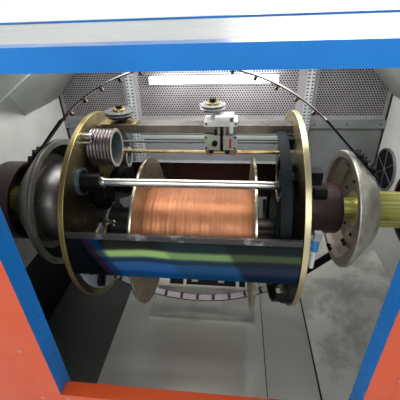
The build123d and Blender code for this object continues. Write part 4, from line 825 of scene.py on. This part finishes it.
class BUNCHER_OT_chamber(bpy.types.Operator):
    """Finishes the lining, floor sheets, lamp, fan, hatch and bearing housings"""
    bl_idname = "buncher.chamber"
    bl_label = "Chamber"

    def execute(self, context):
        coat({"end_walls": "pale satin enamel", "hip_panels": "grey satin enamel",
              "rear_lower_panels": "rear sheet enamel", "seam_rail": "rear sheet enamel",
              "lift_table": "rubbed table steel", "rear_hatch": "white stove enamel",
              "work_light": "lit lamp cover"})
        second_finish(smoothed("floor_trays", "floor sheet steel, darker to the left", 0.0), "pale sloping sheet",
                      lambda c, n: c.x > SLOPE_X)
        smoothed("shaft_bearings", "maroon cast enamel", 3.0)

        # Fan: a thin ring with six wire spokes and a boss, before a round mesh with four ring wires
        x, y, z = FAN
        hub, wide = at(*FAN), FAN_RADIUS + 7.8
        spokes = [math.radians(20.0 + 60.0 * k) for k in range(6)]
        build("fan_ring", "fan ring metal", "machine", "fan_grille",
              turned=[([(0.8, FAN_RADIUS), (0.8, wide - 1.3), (2.0, wide), (12.4, wide), (12.4, FAN_RADIUS),
                        (0.8, FAN_RADIUS)], hub, RIGHT, 64),
                      ([(1.0, 0), (1.0, 8), (2.0, 9), (5.0, 9), (5.0, 0)], hub, RIGHT, 24)],
              pins=[(at(x + 3.0, y, z), (0, math.cos(a), math.sin(a)), 2.0, FAN_RADIUS + 2.0, 10)
                    for a in spokes])
        build("fan_mesh", "black fan mesh", "machine",
              turned=[([(0, 0), (0, FAN_RADIUS), (1.2, FAN_RADIUS), (1.2, 0)], at(x + 7.3, y, z), RIGHT, 48)])
        build("fan_wires", "black fan mesh", "machine",
              turned=[(band(0, 2.4, radius - 1.2, radius + 1.2), at(x + 4.9, y, z), RIGHT, 48)
                      for radius in (30.0, 49.0, 68.0, 87.0)])
        build("lamp_caps", "white lamp cap", "machine",
              boxes=[(x0, x0 + 13.0, 583.0, 623.4, 389.0, 431.0, 3.0) for x0 in (-302.0, 378.0)])

        # Framed inspection plate on the middle lower sheet
        y0, y1 = LINING_FRONT - 4.0, LINING_FRONT - 0.3
        foot, sill, rail, top = INSPECTION_Z
        build("inspection_frame", "grey satin enamel", "machine",
              boxes=[(-394.0, 534.0, y0, y1, rail, top, 1.0), (-394.0, -378.0, y0, y1, foot, rail, 1.0),
                     (430.0, 446.0, y0, y1, foot, rail, 1.0), (-378.0, 430.0, y0, y1, foot, sill, 1.0)])
        # Painted shade: black strips in the gaps above the frame's top and under its rail
        build("inspection_seal", "black seal rubber and gap shade", "machine",
              boxes=[(-394.0, 534.0, y0 + 2.0, y1, top + 0.2, top + 3.2),
                     (-377.8, 429.8, y0 + 2.0, y1, rail - 5.0, rail - 0.2)])
        spots = row(at(-351, LINING_FRONT - 0.2, 38), at(401, LINING_FRONT - 0.2, 38), 4, FRONT)
        for x0, x1 in LINING_BAYS:
            count = max(3, int((x1 - x0) / 110.0))
            spots += row(at(x0 + 30, 609.8, FLANGE_Z), at(x1 - 30, 609.8, FLANGE_Z), count, FRONT)
        set_copies("lining_screws", spots, screw_head(5.0, 2.5), "dark grey for duct shade and screws", "machine")

        # Stop blocks behind the hatch's windows, before a dark sheet of painted shade
        build("space_behind_hatch", "dark behind the holes", "machine",
              boxes=[(-250.0, 29.0, 252.0, 255.0, -639.4, -584.4), (75.0, 287.0, 252.0, 255.0, -639.4, -584.4),
                     (-250.0, 287.0, 128.0, 252.0, -639.5, -638.3)])
        build("stop_blocks", "white stove enamel", "machine",
              boxes=[(-62.0, -26.0, 160.0, 184.0, -638.0, -612.0, 2.0),
                     (92.0, 128.0, 160.0, 184.0, -638.0, -614.0, 2.0)])

        # Bolts that hold the bearing housings' feet to the end walls
        spots = ring(LEFT_WALL + HOUSING_FOOT, 0, 0, 84.0, 8, RIGHT)
        spots += ring(RIGHT_WALL - HOUSING_FOOT, 0, 0, 90.0, 8, LEFT)
        set_copies("bearing_bolts", spots, hex_head(8.0, 7.0), "black oxide steel", "machine")
        return {"FINISHED"}


def bow_line(angle, inset):
    """Place and outward direction on the upper bow's inner face, sunk by an inset."""
    a = math.radians(angle)
    r = BOW_ARC - inset
    return (ROTOR_X + r * math.sin(a), BOW_PEAK - BOW_ARC + r * math.cos(a)), (math.sin(a), math.cos(a))


def dish_profile(rim, radius, back, shaft):
    """Profile of a dish: a rounded ring, a cone to a flat floor, and the back."""
    face, floor, mouth = rim - DISH_RIM, rim - DISH_RIM + DISH_DEPTH, radius - DISH_RING
    inside = rim - DISH_WALL + DISH_RING * CONE_SLOPE
    floor_radius = mouth - (floor - inside) / CONE_SLOPE
    rear = rim + (radius - back) * CONE_SLOPE
    return [(face, mouth + 3), (face, radius - 4), (face + 1.2, radius - 1.2), (face + 4, radius),
            (rim - 2, radius), (rim + 2, radius - 2.5), (rear - 3, back + 3), (rear, back),
            (rear + 0.5, back - 3), (rear + 0.5, shaft + 0.2), (floor, shaft + 0.2), (floor, floor_radius - 5),
            (floor - 1.5, floor_radius - 1.5), (floor - 5, floor_radius + 3.5), (inside, mouth - 1),
            (face + 2, mouth + 0.6), (face, mouth + 3)]


def outward(c, n):
    """Above nought where a face looks away from the rotor axis, below it where it looks inwards."""
    return n.yz.dot(c.yz)


class BUNCHER_OT_rotor(bpy.types.Operator):
    """Finishes the dishes, shafts, cap and bows, with their eyelets, wear strips and bolts"""
    bl_idname = "buncher.rotor"
    bl_label = "Rotor"

    def execute(self, context):
        dishes = build("turned_dishes", "turned dish steel", "rotor", "rotor_dishes", angle=20.0,
                       turned=[(dish_profile(*sizes), at(ROTOR_X, 0, 0), (side, 0, 0), 128)
                               for side, *sizes, bolts in DISHES])
        second_finish(dishes, "bright turned steel", lambda c, n: c.x > 0 and outward(c, n) > TURNED_AWAY)
        second_finish(dishes, "turned flange steel", lambda c, n: (
            c.x < 0 and n.x > 0.9 and c.yz.length > FLANGE_RADIUS))
        second_finish(dishes, "rosy turned steel", lambda c, n: (
            c.x > 0 and outward(c, n) < -TURNED_AWAY and c.z < ROSY_SLOPE * abs(c.y) and c.z < ROSY_Z))
        second_finish(dishes, "shaded turned steel", lambda c, n: (
            c.x < 0 and RECESS_FROM < c.yz.length < RECESS_TO and outward(c, n) < -TURNED_AWAY))
        smoothed("rotor_shafts", "yellow chromated shaft", 1.5)
        smoothed("left_dome", "polished cap steel", 1.0)
        # Painted light: the bows' outer faces are paler, but for the left end
        second_finish(smoothed("rotor_bows", "blued spring steel", 0.0), "bright strip steel", lambda c, n: (
            c.x > BRIGHT_STRIP_X and n.z * c.z > 0 and abs(n.y) < 0.5 and abs(c.z) > BRIGHT_STRIP_Z))
        coat({"bow_shoes": "ground steel"})
        smoothed("bow_clamps", "clamp bar steel", 1.5)

        # Eyelets: a ceramic ring with a white liner in a clip across the bow, on both bows. The white liner
        # also paints the glint inside the ring
        spots, clips = [], []
        gap = 2 * EYELET_SPREAD / (EYELETS - 1)
        for i in range(EYELETS):
            angle = -EYELET_SPREAD + gap * i
            (x, z), (dx, dz) = bow_line(angle, EYELET_INSET)
            (cx, cz), _ = bow_line(angle, CLIP_INSET)
            for side in (1, -1):
                spots.append((at(x, 0, side * z), (dx, 0.0, side * dz)))
                clips.append((at(cx, 0, side * cz), (-dx, 0.0, -side * dz)))
        eyelet = turned_shape([(-5, 6.2), (-3.5, 5.8), (3.5, 5.8), (5, 6.2), (5, 8.6), (3.8, 9.6), (-3.8, 9.6),
                               (-5, 8.6), (-5, 6.2)], RIGHT)
        liner = turned_shape([(-5.6, 4.6), (-5.6, 6.1), (-4.9, 6.4), (4.9, 6.4), (5.6, 6.1), (5.6, 4.6),
                              (-5.6, 4.6)], RIGHT)
        set_copies("eyelet_rings", spots, eyelet, "dark eyelet ceramic", "rotor", "bow_eyelets")
        set_copies("eyelet_liners", spots, liner, "white stove enamel", "rotor")
        set_copies("eyelet_clips", clips, block(9.0, BOW_WIDTH + 3, 2.4), "gold clip brass", "rotor")

        # A wear strip between each two eyelets
        bm = bmesh.new()
        for i in range(EYELETS - 1):
            first = -EYELET_SPREAD + gap * i + STRIP_GAP
            for side in (1, -1):
                loops = []
                for k in range(STRIP_STEPS + 1):
                    angle = first + (gap - 2 * STRIP_GAP) * k / STRIP_STEPS
                    loop = []
                    for inset, y in STRIP:
                        (x, z), _ = bow_line(angle, inset)
                        loop.append(bm.verts.new(at(x, y, side * z)))
                    loops.append(loop)
                for one, two in zip(loops, loops[1:]):
                    for k in range(4):
                        bm.faces.new((one[k], one[(k + 1) % 4], two[(k + 1) % 4], two[k]))
                bm.faces.new(loops[0])
                bm.faces.new(loops[-1])
        place_piece("wear_strips", to_mesh(bm, "strips"), "pale wear strip", "rotor")

        # Screws on the clamp bars, along the bows' straight ends
        spots = []
        dx, dr = BOW_STEP
        for side in (1, -1):
            for turn in (1, -1):
                for step in CLAMP_STEPS:
                    x = BOW_END[0] + step * dx - CLAMP_OUT * dr
                    z = BOW_END[1] + step * dr + CLAMP_OUT * dx
                    spots += [(at(ROTOR_X + side * x, y, turn * z), (side * -dr, 0.0, turn * dx))
                              for y in (-CLAMP_SCREW_Y, CLAMP_SCREW_Y)]
        set_copies("clamp_screws", spots, screw_head(6.0, 6.0), "black oxide steel", "rotor")
        set_copies("dish_bolts", ring(BOLT_CIRCLE_X, 0, 0, BOLT_CIRCLE, 8, LEFT), hex_head(6.5, 6.0),
                   "black oxide steel", "rotor")

        # Ends of the clamps' bolts inside the dishes
        spots = []
        for side, rim, radius, back, shaft, bolts in DISHES:
            for drop, forward in bolts:
                x = ROTOR_X + side * (rim - DISH_WALL + drop * CONE_SLOPE - forward)
                spots += [(at(x, y, turn * (radius - drop)), (side * dr, 0.0, -turn * dx))
                          for turn in (1, -1) for y in (-CLAMP_BOLT_Y, CLAMP_BOLT_Y)]
        set_copies("clamp_bolt_ends", spots, hex_head(8.5, 9.0), "black oxide steel", "rotor")
        return {"FINISHED"}


class BUNCHER_OT_cradle(bpy.types.Operator):
    """Finishes the cradle's plates, bars, covers and guards, with their bolts and fittings"""
    bl_idname = "buncher.cradle"
    bl_label = "Cradle"

    def execute(self, context):
        second_finish(smoothed("end_plates", "yellow chromated plate", 2.0), "inner plate with painted shade and light",
                      lambda c, n: abs(abs(c.x) - PLATE_INSIDE) < 0.5)
        second_finish(smoothed("belt_guards", "dark guard enamel", 0.8), "brown cast enamel",
                      lambda c, n: c.z < GUARD_FOOT)
        covers = smoothed("cradle_covers", "black gloss with painted reflections", 0.8)
        second_finish(covers, "dark cover inside", lambda c, n: c.y > 0)
        second_finish(covers, "grey cover lip", lambda c, n: c.y > 0 and math.atan2(c.z, c.y) > REAR_LIP)
        second_finish(covers, "dark cover lip", lambda c, n: (
            c.y < 0 and c.z > 0 and math.atan2(c.z, c.y) < FRONT_LIP))
        for node, material, edge in (
                ("left_trunnion", "dark trunnion steel", 2.0), ("right_trunnion", "brown cast enamel", 0.0),
                ("top_tie_bar", "planed bar steel", 2.0), ("rod_drum", "black moulding", 2.0),
                ("pintle_housings", "pale segment enamel", 1.5), ("capstan_axles", "ground steel", 1.0),
                ("traverse_rods", "brass rod", 0.5), ("pulley_post", "black oxide steel", 0.8),
                ("sensor_blocks", "black moulding", 2.0), ("air_cylinder", "air cylinder ends", 1.0),
                ("drive_belt", "belt rubber", 0.5), ("drive_pulley", "belt wheel iron", 0.8)):
            smoothed(node, material, edge)

        # The rear rod is drawn thinner than its node, because the photo shows no thick rod there
        build("front_rod", "hard chrome", "cradle", "tie_rods",
              pins=[(at(-307.0, -ROD_Y, ROD_Z), RIGHT, 15.0, 625.0, 40)])
        build("rear_rod", "rod satin enamel", "cradle",
              pins=[(at(-PLATE_INSIDE, ROD_Y, ROD_Z), RIGHT, 6.0, 2 * PLATE_INSIDE)])

        # Bolts of trunnion flanges, bars and housings on the end plates
        spots = []
        for side, facing, flange in ((1, RIGHT, 118.0), (-1, LEFT, 108.0)):
            spots += ring(side * (PLATE_OUTSIDE + 18.0), 0, 0, flange, 8, facing)
            spots += [(at(side * PLATE_OUTSIDE, y, z), facing) for y, z in (
                (38, 336), (62, 336), (ROD_Y, ROD_Z), (-ROD_Y, ROD_Z), (0, -75), (0, -203), (64, BOBBIN_Z),
                (-64, BOBBIN_Z))]
        set_copies("plate_bolts", spots, hex_head(8.0, 7.0), "black oxide steel", "cradle")
        spots = [(at(-380.0, y, z), RIGHT) for y, z in ((-304, -139), (-231, -274), (-120, -340), (60, -350))]
        spots += ring(-376.0, 0, BOBBIN_Z, 108.0, 6, RIGHT, 30.0)
        set_copies("segment_bolts", spots, screw_head(8.0, 6.0), "black oxide steel", "cradle")

        # Gold pad under the left guide pulley, and gear cases, hubs and a bracket on the left plate
        build("gold_pad", "yellow chromated plate", "cradle",
              boxes=[(-366.0, -226.0, 18.0, 86.0, 353.4, 357.4, 1.0),
                     (FITTING_X, -372.0, -40.0, 150.0, 120.0, 330.0, 6.0)])
        build("black_fittings", "black moulding", "cradle",
              turned=[([(0, 0), (0, 29), (20, 29), (22, 27), (22, 20), (14, 19), (14, 0)],
                       at(FITTING_X, -250, -225)),
                      ([(0, 0), (0, 60), (20, 60), (24, 56), (24, 30), (40, 30), (40, 0)],
                       at(FITTING_X, -40, 60), RIGHT, 40)],
              boxes=[(FITTING_X, -330.0, 60.0, 150.0, 20.0, 110.0, 5.0),
                     (FITTING_X, -345.0, -160.0, -90.0, 90.0, 170.0, 5.0),
                     (FITTING_X, -352.0, 190.0, 270.0, -60.0, 90.0, 5.0)])
        build("axle_bracket", "ground steel", "cradle",
              boxes=[(FITTING_X, -352.0, -122.0, -96.0, 345.0, 365.0, 3.0)],
              turned=[([(0, 0), (0, 9), (30, 9), (31, 8), (31, 0)], at(FITTING_X, -110, 330), RIGHT, 20)])

        # Bright collar on the drive wheel's rim, flange and collar of the front rod
        build("wheel_rim", "ground steel", "belt_pulley",
              turned=[(band(0, 2.2, 80, 88), at(332.4, -112, 196), RIGHT, 48)])
        build("rod_flange", "blue-grey flange steel", "cradle",
              turned=[(band(0, 13.0, 42, 50.8), at(-387.9, -ROD_Y, ROD_Z), RIGHT, 40)])
        build("rod_collar", "hard chrome", "cradle",
              turned=[(band(0, 10, 15.4, 21), at(-307.0, -ROD_Y, ROD_Z))])

        # Levers and a bright union between the left plate and its pintle
        build("brass_levers", "yellow chromated plate", "cradle",
              pins=[(at(-352.0, -262, -92), (0.0, 0.84, 0.54), 7.0, 150.0),
                    (at(-372.0, -300, -64), (0.0, 0.9, 0.43), 6.0, 120.0)])
        build("bright_union", "hard chrome", "cradle",
              pins=[(at(-352.0, -150, 6), (0.9, -0.4, 0.1), 8.0, 62.0),
                    (at(-340.0, -156, -6), UP, 6.0, 26.0), (at(-306.0, -172, -2), UP, 6.0, 26.0)])
        return {"FINISHED"}


class BUNCHER_OT_bobbin(bpy.types.Operator):
    """Finishes the bobbin and winds its copper"""
    bl_idname = "buncher.bobbin"
    bl_label = "Bobbin"

    def execute(self, context):
        smoothed("bobbin", "worn bobbin enamel", 2.0)
        second_finish(smoothed("bobbin_pintles", "ground steel", 1.0), "dark trunnion steel",
                      lambda c, n: c.x > 0)
        smoothed("bobbin_pulley", "belt wheel iron", 1.0)

        # Rolled rims of the flanges
        half_turn = [math.radians(180.0 * k / 8) for k in range(9)]
        rim = [(6.0 * math.cos(a), BOBBIN_RIM + 2.2 * math.sin(a)) for a in half_turn]
        build("bobbin_rims", "bright rim steel", "bobbin_unit",
              turned=[(rim + rim[:1], at(x, 0, BOBBIN_Z), RIGHT, 96)
                      for x in (BOBBIN[0] + 6.0, BOBBIN[1] - 6.0)])

        # Copper: a little uneven along its width, and lower at the flanges
        x0, x1 = BOBBIN[0] + 14.5, BOBBIN[1] - 14.5
        points = [(0.0, BARREL_RADIUS + 2)]
        for k in range(WINDING_STEPS + 1):
            u = k / WINDING_STEPS
            wave = math.sin(u * 21.0) * 0.7 + math.sin(u * 57.0 + 1.0) * 0.45 + math.sin(u * 140.0) * 0.3
            fall = 3.0 * (abs(2 * u - 1) ** 14)
            points.append(((x1 - x0) * u, WINDING_RADIUS - 1.2 + wave - fall))
        points += [(x1 - x0, BARREL_RADIUS + 2), points[0]]
        build("copper_turns", "wound copper wire", "bobbin_unit", "copper_winding", angle=50.0,
              turned=[(points, at(x0, 0, BOBBIN_Z), RIGHT, 96)])
        return {"FINISHED"}


class BUNCHER_OT_capstans(bpy.types.Operator):
    """Finishes the capstans with the wire in their grooves, and the guide pulleys"""
    bl_idname = "buncher.capstans"
    bl_label = "Capstans and guide pulleys"

    def execute(self, context):
        smoothed("right_guide_pulley", "guide wheel ceramic", 0.6)
        smoothed("left_guide_pulley", "guide wheel ceramic", 0.6)
        for name, x0, width, radius, grooves, y, z in CAPSTANS:
            drum = smoothed(name + "_capstan", "ground capstan steel", 0.6)
            # Painted light: the drums' right end faces are pale, as they take the light
            second_finish(drum, "bright turned steel", lambda c, n: n.x > 0.8 and c.x > DRUM_FACE_X)
            body = body_of(name + "_capstan")
            sixths = [2 * math.pi * k / 6 for k in range(7)]
            strand = [(STRAND_RADIUS * math.cos(a), radius - GROOVE_DEPTH + STRAND_RADIUS * math.sin(a))
                      for a in sixths]
            turn = turned_shape(strand, UP, 48)
            spots = [(at(x0 + width / grooves * (i + 0.5), y, z), RIGHT) for i in range(grooves)]
            set_copies(name + "_capstan_wire", spots, turn, "copper strand", body)
            build(name + "_capstan_lining", "capstan hollow enamel", body,
                  turned=[([(0, 0), (0, 0.55 * radius), (3.0, 0.55 * radius), (4.0, 0.5 * radius), (4.0, 0)],
                           at(x0 + 14.2, y, z), RIGHT, 40),
                          (band(16.0, width - 1.0, radius - HOLLOW_DEPTH - 0.5, radius - HOLLOW_DEPTH),
                           at(x0, y, z), RIGHT, 48)])

        # Brass hubs and black knobs on the guide pulleys
        for name, body, knob_body, x, z in GUIDES:
            build(name + "_guide_hub", "brass rod", body,
                  turned=[([(0, 8.2), (0, 27.0), (7.5, 27.0), (9.4, 25.0), (9.4, 8.2), (0, 8.2)],
                           at(x, GUIDE_Y, z + 0.1), UP)])
            build(name + "_guide_knob", "black moulding", knob_body,
                  turned=[([(0.5, 0), (0.5, 11), (2, 13), (8, 13), (11, 10.5), (11.5, 0)],
                           at(x, GUIDE_Y, z + 10), UP, 24)])
        return {"FINISHED"}


class BUNCHER_OT_carriage(bpy.types.Operator):
    """Finishes the traverse carriage with its posts, bracket leg, knob and tags"""
    bl_idname = "buncher.carriage"
    bl_label = "Traverse carriage"

    def execute(self, context):
        smoothed("traverse_carriage", "carriage enamel", 1.2)
        front, face = CARRIAGE_FRONT, CARRIAGE_FRONT - 0.2
        build("carriage_posts", "brass rod", "traverse",
              turned=[([(0, 0), (0, 8.6), (5, 8.6), (5, 7.2), (31, 7.2), (31, 8.6), (35.6, 8.6), (35.6, 0)],
                       at(x, front + 9.0, 318.2), UP, 20) for x in (108.0, 129.0)])
        build("carriage_bracket", "white carriage enamel", "traverse",
              boxes=[(148.0, 163.0, front - 12.0, front - 0.4, 330.0, 395.0, 2.0),
                     (93.0, 165.0, front - 12.0, front - 0.4, 374.0, 396.0, 2.0)])
        build("carriage_blocks", "black moulding", "traverse",
              turned=[([(0, 0), (0, 11), (10, 11), (13, 9), (13, 0)], at(92, face, 287), FRONT, 24)],
              boxes=[(113.0, 124.0, front - 8.0, face, 256.0, 352.0, 1.5),
                     (92.0, 100.0, front - 6.0, face, 320.0, 345.0, 1.5),
                     (132.0, 150.0, front - 10.0, front + 14.0, 244.0, 257.6, 2.0),
                     (68.0, 86.0, front - 8.0, front + 14.0, 246.0, 257.6, 2.0)])
        for colour, x0, x1, thick, z0, z1 in (("red", 148.0, 156.0, 5.0, 268.0, 306.0),
                                              ("green", 58.0, 84.0, 3.0, 272.0, 312.0),
                                              ("blue", 150.0, 161.0, 6.0, 318.0, 329.6)):
            build(f"carriage_{colour}_tag", f"{colour} tag plastic", "traverse",
                  boxes=[(x0, x1, front - thick, face, z0, z1, 1.0)])
        spots = [(at(x, front - 0.1, z), FRONT) for x, z in (
            (58.0, 266.0), (58.0, 310.0), (170.0, 266.0), (170.0, 310.0), (60.0, 364.0), (172.0, 364.0))]
        set_copies("carriage_screws", spots, screw_head(4.0, 3.5), "black oxide steel", "traverse")
        return {"FINISHED"}


class BUNCHER_OT_stage(bpy.types.Operator):
    """Sets the studio floor, the lights and the pale background"""
    bl_idname = "buncher.stage"
    bl_label = "Studio"

    def execute(self, context):
        sizes = context.scene.buncher
        bm = bmesh.new()
        bmesh.ops.create_grid(bm, x_segments=1, y_segments=1, size=9.0)
        mesh = bpy.data.meshes.new("studio floor")
        bm.to_mesh(mesh)
        bm.free()
        floor = bpy.data.objects.new("studio_floor", mesh)
        context.scene.collection.objects.link(floor)
        material = bpy.data.materials.new("studio floor")
        material.use_nodes = True
        shader = material.node_tree.nodes["Principled BSDF"]
        shader.inputs["Base Color"].default_value = tuple(sizes.floor_colour)
        shader.inputs["Roughness"].default_value = 0.8
        mesh.materials.append(material)

        # Name, place, aim, width and height in metres, and power
        for name, place, aim, width, height, power in (
                ("front light", (0.5, -3.6, 3.0), (0.0, 0.0, 0.9), 3.2, 2.2, sizes.front_power),
                ("left fill", (-3.6, -2.6, 2.2), (0.0, 0.0, 0.8), 2.4, 2.0, 56.0),
                ("top light", (0.0, 0.4, 4.6), (0.0, 0.0, 0.8), 3.6, 2.6, 48.0),
                ("back light", (1.4, 4.0, 2.6), (0.0, 0.0, 0.8), 3.0, 2.0, 70.0),
                ("lamp glow", (0.02, 0.52, 1.27), (0.02, 0.66, 1.2), 0.66, 0.05, 1.3),
                ("chamber light", (0.0, 0.15, 1.49), (0.0, 0.1, 0.0), 1.3, 0.5, sizes.lamp_power)):
            data = bpy.data.lights.new(name, "AREA")
            data.shape = "RECTANGLE"
            data.size, data.size_y, data.energy = width, height, power
            lamp = bpy.data.objects.new(name, data)
            turn = (Vector(aim) - Vector(place)).to_track_quat("-Z", "Y").to_matrix()
            lamp.matrix_world = Matrix.Translation(place) @ turn.to_4x4()
            lamp.visible_camera = False
            context.scene.collection.objects.link(lamp)

        world = bpy.data.worlds.new("studio")
        context.scene.world = world
        world.use_nodes = True
        tree = world.node_tree
        tree.nodes.clear()
        rays = add(tree, "ShaderNodeLightPath").outputs
        seen = rays["Is Camera Ray"]
        for ray in ("Is Glossy Ray", "Is Transmission Ray"):
            seen = add(tree, "ShaderNodeMath", {0: seen, 1: rays[ray]}, operation="MAXIMUM").outputs[0]
        soft = add(tree, "ShaderNodeBackground", {"Color": linear("F2F5F8"), "Strength": 0.38})
        white = add(tree, "ShaderNodeBackground", {"Color": linear("FFFFFF"), "Strength": 1.0})
        both = add(tree, "ShaderNodeMixShader", {0: seen, 1: soft.outputs[0], 2: white.outputs[0]})
        add(tree, "ShaderNodeOutputWorld", {"Surface": both.outputs[0]})
        context.scene.view_settings.view_transform = "Standard"
        return {"FINISHED"}


class BUNCHER_PT_panel(bpy.types.Panel):
    """Lists the steps that finish the bunching machine"""
    bl_label = "Bunching machine"
    bl_idname = "BUNCHER_PT_panel"
    bl_space_type = "VIEW_3D"
    bl_region_type = "UI"
    bl_category = "Bunching machine"

    def draw(self, context):
        for name in BuncherSettings.__annotations__:
            self.layout.prop(context.scene.buncher, name)
        for step in STEPS:
            self.layout.operator(step.bl_idname)


STEPS = [BUNCHER_OT_camera, BUNCHER_OT_finishes, BUNCHER_OT_cabinet, BUNCHER_OT_punched_sheets,
         BUNCHER_OT_ducts, BUNCHER_OT_chamber, BUNCHER_OT_rotor, BUNCHER_OT_cradle, BUNCHER_OT_bobbin,
         BUNCHER_OT_capstans, BUNCHER_OT_carriage, BUNCHER_OT_stage]
CLASSES = [BuncherSettings] + STEPS + [BUNCHER_PT_panel]


def register():
    for cls in CLASSES:
        bpy.utils.register_class(cls)
    bpy.types.Scene.buncher = PointerProperty(type=BuncherSettings)


def unregister():
    del bpy.types.Scene.buncher
    for cls in reversed(CLASSES):
        bpy.utils.unregister_class(cls)


def main():
    register()
    bpy.ops.buncher.camera()
    bpy.ops.buncher.finishes()
    bpy.ops.buncher.cabinet()
    bpy.ops.buncher.punched_sheets()
    bpy.ops.buncher.ducts()
    bpy.ops.buncher.chamber()
    bpy.ops.buncher.rotor()
    bpy.ops.buncher.cradle()
    bpy.ops.buncher.bobbin()
    bpy.ops.buncher.capstans()
    bpy.ops.buncher.carriage()
    bpy.ops.buncher.stage()


if __name__ == "__main__":
    main()
